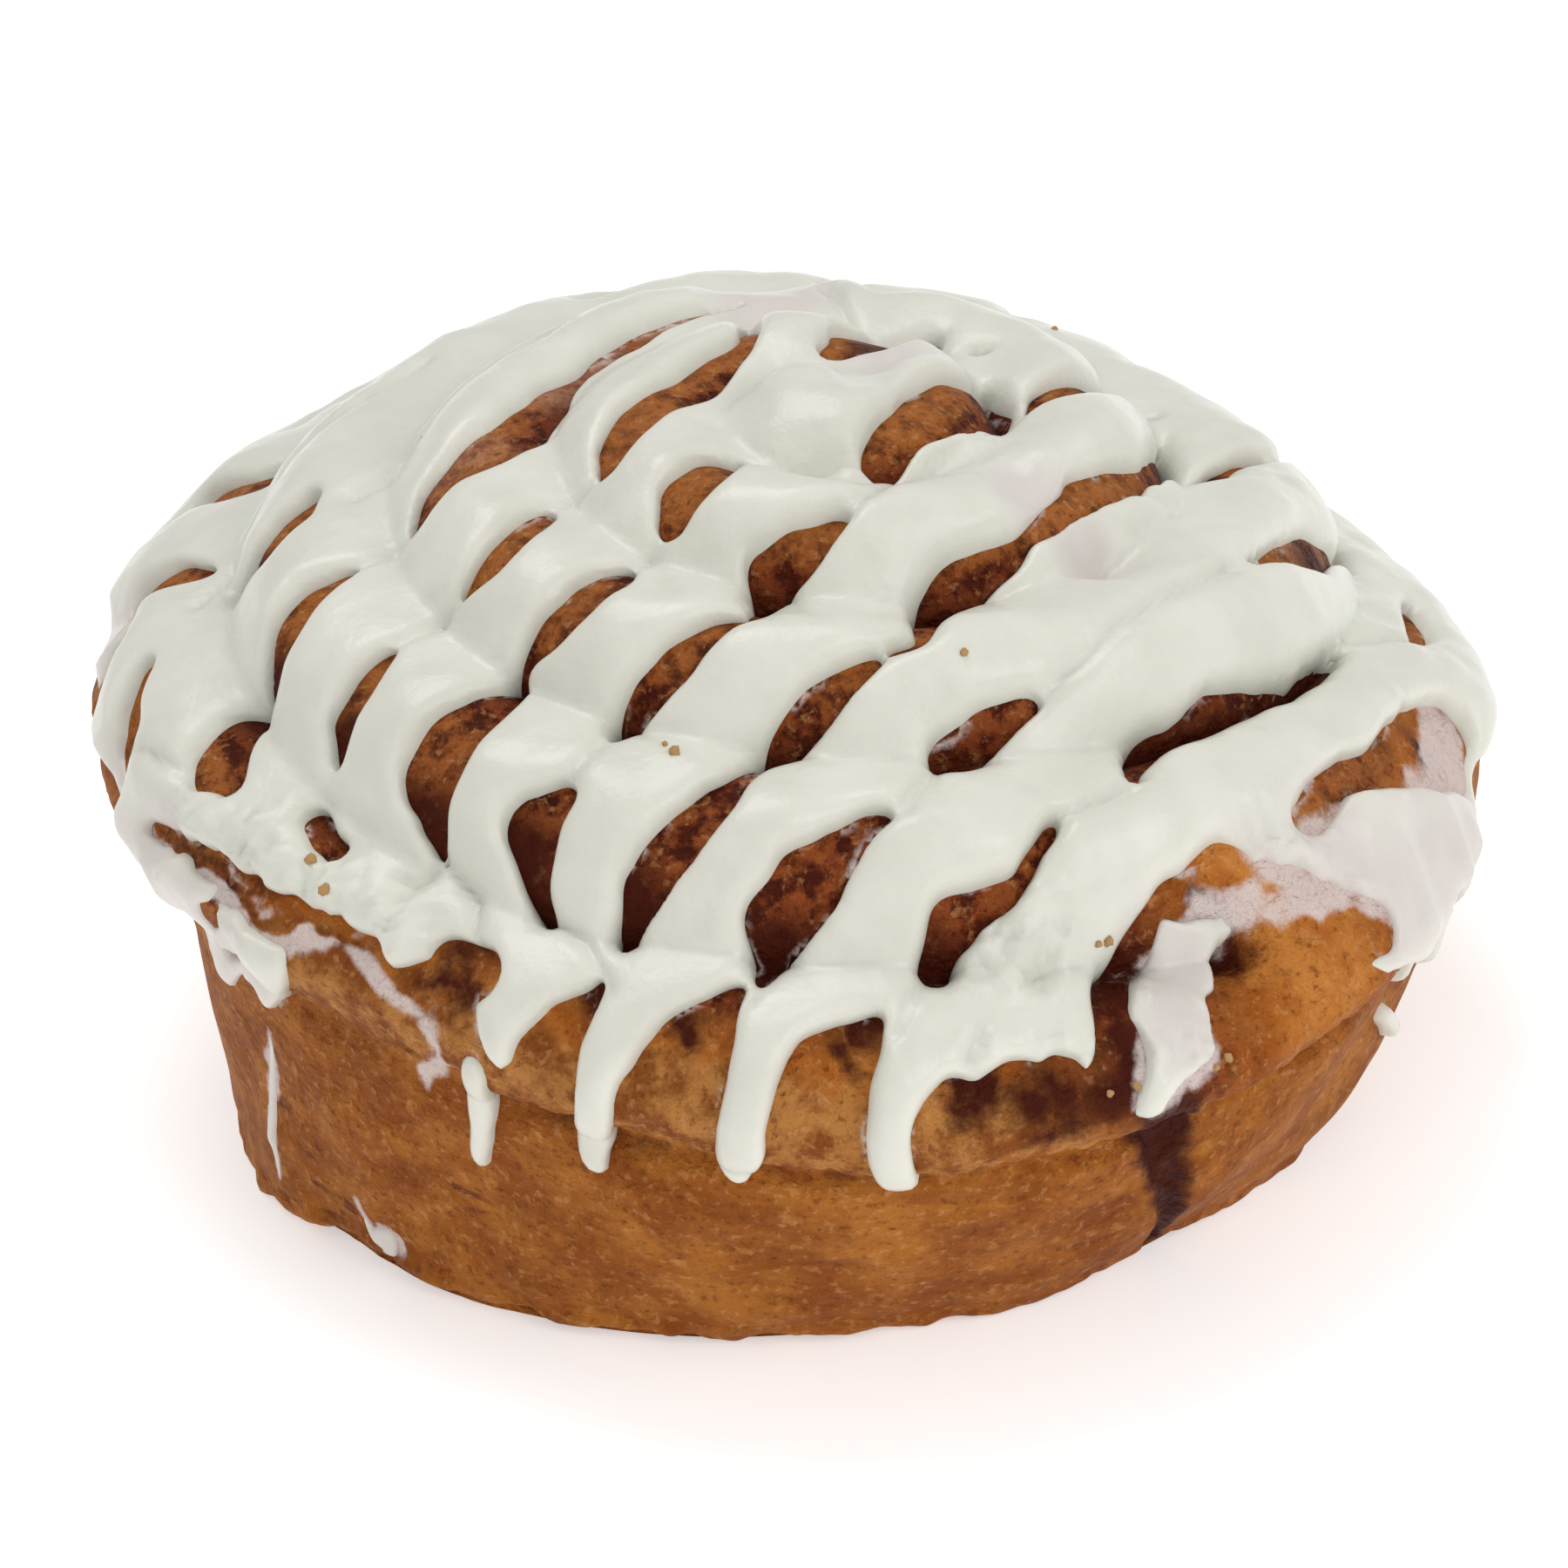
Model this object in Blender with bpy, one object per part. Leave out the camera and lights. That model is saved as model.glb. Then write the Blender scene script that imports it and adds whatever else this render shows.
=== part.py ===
"""An iced cinnamon roll: one coiled bun with thick white icing piped across it in slanting rows."""

import bmesh
import bpy
import numpy as np

MM = 0.001

# The bun's outline, turned about the upright axis: a dome, a rounded lip, and a wall that narrows to the base.
LIP_RADIUS = 58.6 * MM
LIP_HEIGHT = 31.3 * MM
DOME_HEIGHT = 60.4 * MM
DOME_SIDE_POWER = 1.055
DOME_TOP_POWER = 1.5
NECK_INSET = 2.4 * MM
NECK_DROP = 4.0 * MM
BASE_RADIUS = 48.0 * MM
BASE_ROUND = 2.5 * MM
WALL_BULGE = 1.5
BELOW_BASE = 1.0 * MM
MESH_KEPT = 0.068

# The middle of the finished bun's plan, which the row's origin sits on.
PLAN_MIDDLE = (0.66 * MM, -0.79 * MM)

# How far the bun is from round: the lip sits higher at the left and the back, and the plan is a soft oval.
LIP_LEAN = ((0, -0.3, 0.0), (1, -4.9, 3.4), (2, 0.3, 0.3), (3, 0.6, 0.1))
LIP_OVAL = ((1, 0.0175, -0.0095), (2, -0.021, -0.043), (3, -0.0155, -0.007), (4, 0.0145, 0.001))
WAIST_OVAL = ((0, -0.02, 0.0), (1, 0.012, 0.0), (2, -0.02, -0.0165))
BASE_OVAL = ((0, 0.0295, 0.0), (1, -0.0105, -0.0245), (2, -0.0075, 0.012), (3, -0.005, -0.013))
WALL_LUMPS = ((3, 2, 0.5, 0.45), (5, 1, 1.9, 0.4), (8, 3, 0.3, 0.3), (13, 5, 2.2, 0.22))

# The coil: its centre in plan, the width of one turn, and the grooves between the turns.
COIL_CENTRE = (6.5 * MM, 3.1 * MM)
COIL_WIDTH = 14.6 * MM
COIL_TURNS = 4.07
GROOVE_DEPTH = 5.0 * MM
ICED_GROOVE_DEPTH = 3.4 * MM
GROOVE_POWER = 0.6
GROOVE_FADE = 7.0 * MM
HEART_RADIUS = 6.0 * MM

# The filling: one thin sheet wound up with the dough, thicker where the coil's tail ends at the side.
SHEET_HALF = 0.75 * MM
TAIL_HALF = 1.7 * MM
TAIL_LENGTH = 9.0 * MM
TAIL_ANGLE = -59.0
SHEET_RISE = 0.6 * MM
SHEET_BOTTOM = 0.3 * MM
KNEE = 10.5 * MM
SHEET_START = 5.0 * MM
SHEET_STEP = 6.0 * MM
CLEARANCE = 0.36 * MM

# The icing: its thickness, the rounding of its edges, and where it ends around the rim.
ICING_THICKNESS = 2.4 * MM
DRIP_THICKNESS = 1.3 * MM
ICING_ROUND = 2.6 * MM

# Outer edge of the icing: (angle in degrees, distance from the top along the surface in mm).
ICING_EDGE = (
    (-180, 66), (-165, 67), (-155, 66), (-145, 65), (-138, 62), (-132, 58), (-128, 55), (-66, 55), (-62, 61),
    (-50, 63), (-42, 67), (-35, 71), (-25, 69), (-15, 67), (0, 69), (15, 67), (30, 69), (45, 66), (60, 68),
    (80, 65), (100, 69), (120, 66), (140, 69), (160, 66), (180, 66),
)

# The icing's lower edge at the front, where each row runs over the lip in a tongue: (u, v) in mm.
FRONT_EDGE = (
    (-50, -36), (-47.8, -40.4), (-45.7, -42.5), (-42.5, -46), (-40.4, -47.4), (-39.9, -50.6), (-37.6, -50.8), (-34.4, -51.2),
    (-30.8, -51.7), (-30.6, -54), (-31.2, -57), (-31, -59.8), (-30, -61.2), (-28.6, -61), (-27.4, -59.9), (-25.8, -58.9),
    (-23, -57.5), (-19.8, -56.6), (-17.5, -55.2), (-18.2, -57.3), (-19.8, -59.6), (-21.2, -62), (-23.4, -65.8), (-26.6, -70.5),
    (-27.6, -73), (-26.6, -74.6), (-24.6, -74.6), (-22.6, -72.3), (-19.2, -66.7), (-17.5, -64), (-15.6, -62.1), (-12.6, -59.8),
    (-9.8, -58), (-6.6, -56.8), (-4.7, -56.3), (-6.1, -59.6), (-7, -62.6), (-8.2, -65.8), (-10, -70), (-10.7, -73.4), (-9.4, -75.4),
    (-7.4, -75), (-6, -72), (-4.8, -68.8), (-3.8, -65.8), (-2.2, -62.4), (-0.8, -61), (1.7, -59.8), (4.5, -58.9), (6.8, -58.2),
    (6.1, -59.6), (5.6, -61.9), (4.8, -64), (4.1, -66.7), (4.3, -70), (5.1, -73.4), (6.8, -75.4), (8.9, -75), (9.6, -72.5),
    (8.2, -69.5), (7.9, -67.4), (8.4, -65.6), (9.4, -64), (11.2, -62.4), (13.1, -62.4), (15.6, -61), (20, -59.5), (22.8, -60),
    (23.9, -58.7), (23.9, -54), (24.9, -50.8), (27.6, -47.1), (30.2, -44.8), (29, -41), (0, -42), (-25, -40), (-43, -34),
)

# Drips over the rim, each a line of (u, v, half width) in mm on the unrolled surface, the top at (0, 0).
DRIPS = (
    ((-33.5, -61, 1.6), (-37, -64.8, 1.9), (-40, -67.8, 1.5), (-43.3, -70.2, 1.3)),
    ((31.5, -47, 1.5), (30.5, -51, 2.6), (31, -56, 3.4), (29, -61.5, 1.6)),
    ((-61, -24, 1.8), (-66, -30, 3.2), (-69.5, -34, 1.8)),
    ((-57, -33, 1.4), (-61, -39, 2.2), (-60.5, -43, 1.5)),
    ((56, -33, 4.2), (60, -37.5, 2.8), (66, -40.5, 1.6)),
    ((62, -27, 3.6), (69, -32, 2.2), (72, -35, 1.3)),
    ((20, 62, 2.6), (22, 71, 1.3)),
    ((-14, 63, 2.4), (-15, 72, 1.2)),
    ((-44, 48, 2.4), (-49, 54, 1.2)),
    ((49, 43, 2.4), (55, 48, 1.2)),
)

# Gaps between the rows of icing, where the dough shows, in the same measure as the drips.
GAPS = (
    ((-52, -25, 0.8), (-53, -20.5, 3.0), (-50.5, -17, 1.6), (-47.5, -17.3, 0.9), (-43, -12, 2.2), (-39.3, -8.7, 1.7), (-36, -6.8, 0.5)),
    ((-63, -12.5, 0.9), (-62, -9.5, 1.6), (-59.5, -7.5, 0.8)),
    ((-42, -29.7, 0.4), (-39.7, -25.3, 1.6), (-37.3, -23.3, 1.6), (-34.7, -21, 0.9), (-33.3, -19.8, 0.3)),
    ((-33, -42.5, 0.6), (-33, -38.7, 1.8), (-32.3, -35.3, 3.4), (-28.7, -32, 3.0), (-25.3, -29.3, 1.8), (-23.3, -26.8, 0.6)),
    ((-45.8, -32.5, 1.3), (-45, -35.5, 1.1), (-43.8, -37.5, 1.2)),
    ((-62, -21.3, 0.8), (-58.7, -26.7, 1.0), (-56.3, -31.3, 1.4), (-52, -37.3, 1.2), (-48.7, -41.3, 1.2), (-44.7, -44.3, 0.6)),
    ((-19, -41, 1.2), (-22.7, -43.3, 3.0), (-23.7, -47.3, 1.4), (-23.3, -49.7, 0.8)),
    ((-33.5, -51.5, 1.8), (-30, -53.5, 2.2)),
    ((-16.3, -53, 0.6), (-13.3, -49.3, 1.8), (-9.3, -45.7, 1.9), (-6, -42.7, 1.4), (-3, -39.7, 0.9), (-1.3, -37.7, 0.5),
     (1.3, -35.3, 1.4), (4, -33, 1.5), (7, -30.7, 0.8), (9.3, -29, 0.3), (11.7, -28.3, 0.5), (12.3, -24.7, 1.2),
     (13.7, -21.7, 1.6), (16, -19.3, 1.8), (19.3, -17.3, 1.1), (21.3, -15.3, 0.7), (24.7, -11.3, 0.9), (26.7, -8.7, 1.6),
     (29.3, -6, 1.6), (32, -3, 1.4), (34.7, -0.3, 0.8), (37.3, 5.3, 0.9), (38.7, 8.7, 1.0), (39, 12, 0.5), (39.2, 15, 0.2)),
    ((-3.7, -56.3, 0.6), (-2, -52, 2.4), (1.3, -48.7, 2.6), (4, -46, 1.8), (6.7, -43.7, 0.7), (9.3, -42.7, 0.3)),
    ((13.3, -36, 1.4), (16, -34.3, 1.5), (19, -32.3, 0.8), (21.3, -31, 0.2)),
    ((11, -54, 1.2), (12.3, -50.7, 1.7), (15.3, -48.7, 1.2), (18, -47.3, 0.7), (19.3, -44.7, 0.6), (21, -42.3, 0.5)),
    ((27.3, -38.7, 0.2), (28.3, -35.3, 0.7), (30, -32.3, 1.2), (33.3, -30, 1.1), (36.7, -26.7, 1.3), (40, -24, 1.0),
     (44, -21.3, 0.7), (47.3, -18, 0.6), (49.3, -15.3, 0.7), (52.7, -10.3, 0.2)),
    ((38.3, -14.3, 0.2), (42.7, -9.7, 0.6), (45.7, -6.7, 1.3), (48.7, -3.3, 1.8), (50.7, 0, 1.5), (53, 3, 0.6), (56, 6.7, 0.6),
     (57.3, 10.7, 0.4), (58.7, 18, 0.2)),
    ((59.3, -6.3, 0.3), (61.3, -2, 1.2), (62, 2, 1.0), (62.7, 6.7, 0.2)),
    ((40, 4.3, 0.5), (41.7, 4.7, 1.0), (43.3, 8, 0.8), (47.3, 11.7, 0.8), (48.3, 12.3, 0.2)),
    ((25.3, 6, 0.7), (27.3, 8, 1.4), (30, 9.3, 0.9), (32, 12, 0.7), (34, 16, 0.6), (34.7, 20.7, 0.5), (34, 25.3, 0.4)),
    ((10.3, -6.3, 1.6), (12.7, -2.7, 2.0), (16.7, 1.3, 2.6), (20, 4.7, 2.6), (22, 8.7, 1.3), (21.7, 13.3, 0.6), (20.3, 15.3, 0.2)),
    ((11.7, 12, 2.4), (13.7, 15.3, 1.3), (14, 18.7, 1.0), (12, 21.3, 0.9), (10, 22.3, 0.5)),
    ((-12.7, -6.3, 0.8), (-11, -2, 2.0), (-8, 2.7, 2.2), (-4, 6.7, 2.0), (-0.7, 11.3, 1.2), (1, 14, 0.8), (1, 18.7, 0.6), (0.3, 22, 0.3)),
    ((-29.7, -4, 1.0), (-27.3, -1.3, 2.2), (-23.3, 1.3, 2.9), (-20, 4.7, 2.6), (-18.3, 8.7, 1.9), (-16.7, 12.7, 1.2),
     (-14, 16, 0.7), (-10.7, 19.7, 0.7), (-7.3, 22.3, 0.8), (-4, 24.3, 0.8), (0.7, 27.3, 0.3)),
    ((-46.5, 1.3, 1.2), (-44, 2.7, 1.3), (-41, 4.3, 1.1), (-39.5, 5.5, 0.3)),
    ((-27, -16.7, 0.6), (-24, -15.3, 1.9), (-21.3, -12.7, 1.8), (-19, -9.3, 1.2), (-18.7, -7.9, 0.4)),
    ((-22.7, -26, 0.5), (-19.3, -24.7, 1.8), (-16, -22.7, 2.0), (-13.3, -20.7, 1.9), (-11.7, -19, 0.6)),
    ((-7.3, -14.7, 1.5), (-6, -12, 2.3), (-3.3, -9.3, 2.2), (-1, -7, 0.9)),
    ((-15.7, -36.7, 0.3), (-13.7, -34.3, 0.9), (-10.7, -31.7, 1.5), (-7.3, -29.7, 1.5), (-4, -27, 1.1), (-1, -26, 0.6),
     (0, -23.3, 0.9), (0.7, -19.8, 1.9), (3.3, -18, 1.9), (6, -16.3, 1.0), (7, -15.9, 0.3)),
    ((-54.3, 21.3, 0.8), (-52.3, 24.3, 1.6), (-49.7, 22, 0.9), (-46, 24.7, 0.3)),
    ((-58.3, 11.7, 0.4), (-54.3, 9.7, 0.9)),
    ((-63.3, 4, 1.5), (-61.3, 6, 1.2)),
    ((-11.3, 33.7, 0.3), (-6, 36.3, 0.5), (-2.7, 37.3, 0.5), (3.3, 40, 0.2)),
    ((21.3, 19.7, 0.4), (23, 19, 0.3)),
    ((38.7, 23, 0.5), (39.7, 20.3, 0.2)),
    ((50.3, 34, 0.6), (51, 36, 0.7), (51.7, 30, 0.4)),
    ((62, -14.5, 2.4), (59.5, -19, 3.8), (55.5, -23, 3.0), (51.5, -27, 1.6), (46.7, -30.7, 1.3), (44, -34.7, 1.5), (42, -36.3, 0.7)),
    ((26.7, -63.5, 1.4), (26.3, -58, 1.8), (25.7, -54.7, 1.4), (28, -50, 1.8), (31.3, -45.3, 1.4), (36, -42.5, 2.5), (41, -44, 4.0),
     (46, -43, 3.6), (50.5, -41, 2.0)),
    ((40, -50, 5.0), (37.5, -55, 3.0), (36, -60, 2.4)),
    ((44, -55, 5.0), (52, -48, 4.0)),
    # The side turned away from the photograph goes on in the same way.
    ((-38, 30, 0.4), (-34, 35, 1.4), (-29, 39, 1.5), (-24, 42, 0.6)),
    ((-20, 46, 0.5), (-16, 50, 1.6), (-11, 53, 1.5), (-7, 55, 0.6)),
    ((-14, 40, 0.4), (-9, 44, 1.3), (-4, 47, 1.2), (0, 49, 0.4)),
    ((8, 42, 0.5), (12, 47, 1.6), (16, 51, 1.5), (19, 53, 0.5)),
    ((12, 30, 0.6), (16, 33, 1.5), (20, 35.5, 1.2), (23, 37, 0.4)),
    ((26, 42, 0.5), (30, 46, 1.4), (33, 50, 0.8)),
    ((-44, 38, 0.5), (-41, 43, 1.5), (-37, 47, 1.0)),
    ((38, 34, 0.4), (42, 39, 1.3), (44, 43, 0.6)),
)


def outline(steps):
    """The bun's outline from the top centre to under the base, as (radius, height) rows."""
    lift = np.linspace(np.pi / 2, 0, 2 * steps)
    dome_r = LIP_RADIUS * np.cos(lift) ** DOME_SIDE_POWER
    dome_z = LIP_HEIGHT + (DOME_HEIGHT - LIP_HEIGHT) * np.sin(lift) ** DOME_TOP_POWER
    turn = np.linspace(0, np.pi / 2, steps // 4)[1:]
    lip_r = LIP_RADIUS - NECK_INSET * (1 - np.cos(turn))
    lip_z = LIP_HEIGHT - NECK_DROP * np.sin(turn)
    up = np.linspace(1, 0, steps)[1:]
    wall_r = BASE_RADIUS + (lip_r[-1] - BASE_RADIUS) * (1 - (1 - up) ** WALL_BULGE)
    wall_z = BASE_ROUND + (lip_z[-1] - BASE_ROUND) * up
    foot_r = BASE_RADIUS - BASE_ROUND * (1 - np.cos(turn))
    foot_z = BASE_ROUND * (1 - np.sin(turn))
    line = np.stack([np.hstack([dome_r, lip_r, wall_r, foot_r]), np.hstack([dome_z, lip_z, wall_z, foot_z])], 1)
    run = np.concatenate([[0], np.cumsum(np.hypot(*np.diff(line, axis=0).T))])
    return run, line, run[len(dome_r) - 1]


RUN, LINE, LIP_RUN = outline(400)
SLOPE = np.gradient(LINE, RUN, axis=0)
FACING = np.stack([-SLOPE[:, 1], SLOPE[:, 0]], 1) / np.hypot(*SLOPE.T)[:, None]


def waves(angle, table):
    """The sum of a few waves round the bun, each (waves a turn, cosine part, sine part)."""
    return sum(a * np.cos(k * angle) + b * np.sin(k * angle) for k, a, b in table)


def swell(angle, rise):
    """How much wider than round the bun is, from its base at rise 0 to its lip at 1."""
    ends = waves(angle, LIP_OVAL) * rise + waves(angle, BASE_OVAL) * (1 - rise)
    return 1 + ends + 4 * waves(angle, WAIST_OVAL) * rise * (1 - rise)


def lopsided(r, z, angle):
    """Points of the round outline moved to the uneven bun: the oval and the leaning lip."""
    share = np.where(z < LIP_HEIGHT, z / LIP_HEIGHT, (DOME_HEIGHT - z) / (DOME_HEIGHT - LIP_HEIGHT))
    r = r * swell(angle, np.clip(z / LIP_HEIGHT, 0, 1))
    z = z + waves(angle, LIP_LEAN) * MM * np.clip(share, -0.2, 1)
    return np.stack([r * np.cos(angle), r * np.sin(angle), z], -1)


def surface(angle, run, out):
    """The bun's surface at an angle and a distance down from the top, moved outwards by out."""
    r = np.interp(run, RUN, LINE[:, 0]) + out * np.interp(run, RUN, FACING[:, 0])
    z = np.interp(run, RUN, LINE[:, 1]) + out * np.interp(run, RUN, FACING[:, 1])
    return lopsided(r, z, angle)


def groove_share(angle, run):
    """0 on a ridge of the coil, 1 in the groove between two turns, 0 past the rim."""
    flat = surface(angle, run, 0.0)
    x = flat[..., 0] - COIL_CENTRE[0]
    y = flat[..., 1] - COIL_CENTRE[1]
    away = np.hypot(x, y)
    way = np.arctan2(y, x)
    turns = away / COIL_WIDTH - way / (2 * np.pi) - COIL_TURNS
    across = np.abs(2 * (turns % 1) - 1)
    share = 1 - (1 - across**2) ** GROOVE_POWER
    share *= np.where(turns > -0.5, np.clip((np.radians(TAIL_ANGLE) - way) / np.radians(8) + 0.9, 0, 1), 1)
    rim = np.clip((LIP_RUN + 2 * MM - run) / GROOVE_FADE, 0, 1)
    return share * rim * np.clip(away / HEART_RADIUS, 0, 1)


def wall_lumps(angle, run):
    """Small swellings of the wall, none on the dome."""
    below = np.clip((run - LIP_RUN) / (6 * MM), 0, 1)
    depth = (run - LIP_RUN) / (RUN[-1] - LIP_RUN)
    waves = sum(size * np.sin(k * angle + m * depth * 2 + start) for k, m, start, size in WALL_LUMPS)
    return waves * MM * below


def reach(u, v, line):
    """How far inside a line of varying width each point is, in mm; below 0 outside."""
    best = np.full(u.shape, -1e9)
    for (u0, v0, w0), (u1, v1, w1) in zip(line, line[1:]):
        du, dv = u1 - u0, v1 - v0
        t = np.clip(((u - u0) * du + (v - v0) * dv) / (du * du + dv * dv), 0, 1)
        best = np.maximum(best, w0 + (w1 - w0) * t - np.hypot(u - u0 - t * du, v - v0 - t * dv))
    return best


def within(u, v, corners):
    """How far inside a closed shape of straight sides each point is, in mm; below 0 outside."""
    near = np.full(u.shape, 1e9)
    inside = np.zeros(u.shape, bool)
    for (u0, v0), (u1, v1) in zip(corners, corners[1:] + corners[:1]):
        du, dv = u1 - u0, v1 - v0
        t = np.clip(((u - u0) * du + (v - v0) * dv) / (du * du + dv * dv), 0, 1)
        near = np.minimum(near, np.hypot(u - u0 - t * du, v - v0 - t * dv))
        if dv:
            inside ^= ((v0 > v) != (v1 > v)) & (u < u0 + (v - v0) * du / dv)
    return np.where(inside, near, -near)


def icing_reach(angle, run):
    """How far inside the icing's edge each point is, in metres; below 0 on bare dough."""
    u = run / MM * np.cos(angle)
    v = run / MM * np.sin(angle)
    ends, marks = np.array(ICING_EDGE, float).T
    edge = np.interp(np.degrees(np.arctan2(v, u)), ends, marks)
    inside = np.maximum(edge - run / MM, within(u, v, FRONT_EDGE))
    for drip in DRIPS:
        inside = np.maximum(inside, reach(u, v, drip))
    for gap in GAPS:
        inside = np.minimum(inside, -reach(u, v, gap))
    return inside * MM


def icing_share(angle, run):
    """0 on bare dough, 1 under full icing, with a rounded edge between."""
    inner = np.clip(icing_reach(angle, run) / ICING_ROUND, 0, 1)
    return 1 - (1 - inner) ** 2


def outward(angle, run):
    """How far the finished surface stands off the plain outline."""
    groove = groove_share(angle, run)
    bare = -GROOVE_DEPTH * groove
    past_rim = np.clip((run - LIP_RUN) / (4 * MM) + 1, 0, 1)
    thick = ICING_THICKNESS + (DRIP_THICKNESS - ICING_THICKNESS) * past_rim
    iced = thick - ICED_GROOVE_DEPTH * groove
    return bare + (iced - bare) * icing_share(angle, run) + wall_lumps(angle, run)


def ringed_disc(rings, spacing):
    """Even points on a disc, ring by ring, as (angle, distance) with the triangles between them."""
    angle, run, faces = [0.0], [0.0], []
    for k in range(1, rings + 1):
        angle += [2 * np.pi * j / (6 * k) for j in range(6 * k)]
        run += [k * spacing] * (6 * k)
    for k in range(1, rings + 1):
        first = 3 * k * (k - 1) + 1
        inner_first = 3 * (k - 1) * (k - 2) + 1 if k > 1 else 0
        count, inner_count = 6 * k, max(6 * (k - 1), 1)
        for j in range(count):
            side, step = divmod(j, k)
            a = first + j
            b = first + (j + 1) % count
            c = inner_first + (side * (k - 1) + step) % inner_count
            faces.append((a, b, c))
            if step < k - 1:
                faces.append((b, inner_first + (side * (k - 1) + step + 1) % inner_count, c))
    return np.array(angle), np.array(run), faces


def new_object(name, points, faces, colour, roughness):
    mesh = bpy.data.meshes.new(name)
    mesh.from_pydata([tuple(p) for p in points], [], faces)
    edit = bmesh.new()
    edit.from_mesh(mesh)
    bmesh.ops.recalc_face_normals(edit, faces=edit.faces)
    edit.to_mesh(mesh)
    edit.free()
    mesh.shade_smooth()
    mesh.set_sharp_from_angle(angle=np.radians(50))
    obj = bpy.data.objects.new(name, mesh)
    bpy.context.scene.collection.objects.link(obj)
    obj.location = (-PLAN_MIDDLE[0], -PLAN_MIDDLE[1], 0)
    look = bpy.data.materials.new(name)
    look.use_nodes = True
    shader = look.node_tree.nodes["Principled BSDF"]
    shader.inputs["Base Color"].default_value = colour
    shader.inputs["Roughness"].default_value = roughness
    mesh.materials.append(look)
    return obj


def make_cutter(obj):
    obj.hide_render = True
    obj.display_type = "WIRE"
    return obj


def cut(obj, cutter):
    boolean = obj.modifiers.new("cut_" + cutter.name, "BOOLEAN")
    boolean.operation = "DIFFERENCE"
    boolean.object = cutter


def make_roll():
    """The coiled dough and the thick icing on it, as one solid, before the filling's slot is cut."""
    rings = 130
    angle, run, faces = ringed_disc(rings, RUN[-1] / rings)
    points = surface(angle, run, outward(angle, run))
    last = len(points) - 6 * rings
    under = points[last:] - (0, 0, BELOW_BASE)
    rim = list(range(last, len(points)))
    low = list(range(len(points), len(points) + 6 * rings))
    for j in range(6 * rings):
        k = (j + 1) % (6 * rings)
        faces.append((rim[k], rim[j], low[j], low[k]))
    faces.append(tuple(reversed(low)))
    roll = new_object("dough_roll", np.vstack([points, under]), faces, (0.62, 0.53, 0.40, 1), 0.5)
    fewer = roll.modifiers.new("fewer", "DECIMATE")
    fewer.ratio = MESH_KEPT
    fewer.use_collapse_triangulate = True
    return roll


def sheet_columns():
    """Points along the sheet's top edge, from the heart outwards, and the plan direction at each."""
    turn = 2 * np.pi * (SHEET_START / COIL_WIDTH - COIL_TURNS)
    last = np.radians(TAIL_ANGLE)
    turns = []
    while turn < last - 0.05:
        turns.append(turn)
        away = COIL_WIDTH * (COIL_TURNS + turn / (2 * np.pi))
        turn += min(SHEET_STEP / away, np.radians(20))
    turns = np.array(turns)
    away = COIL_WIDTH * (COIL_TURNS + turns / (2 * np.pi))
    x = COIL_CENTRE[0] + away * np.cos(turns)
    y = COIL_CENTRE[1] + away * np.sin(turns)
    angle = np.arctan2(y, x)
    top_half = RUN <= LIP_RUN
    run = np.interp(np.hypot(x, y) / swell(angle, 1), LINE[top_half, 0], RUN[top_half])
    top = surface(angle, run, SHEET_RISE - GROOVE_DEPTH * groove_share(angle, run))
    end = surface(last, LIP_RUN, -2.0 * MM)
    keep = np.hypot(*(top[:, :2] - end[:2]).T) > 0.7 * SHEET_STEP
    top = np.vstack([top[keep], end])
    along = np.gradient(top[:, :2], axis=0)
    along /= np.hypot(*along.T)[:, None]
    along[-1] += end[:2] / np.hypot(*end[:2])
    along /= np.hypot(*along.T)[:, None]
    return top, along


def narrowing(angle, height):
    """How much narrower the bun is at a height than at its lip, in the direction of the angle."""
    even = np.clip(height / (1 + waves(angle, LIP_LEAN) * MM / LIP_HEIGHT), 0, LIP_HEIGHT)
    low = RUN > LIP_RUN
    wall = np.interp(even, LINE[low, 1][::-1], LINE[low, 0][::-1])
    return wall * swell(angle, even / LIP_HEIGHT) / (LIP_RADIUS * swell(angle, 1))


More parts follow.
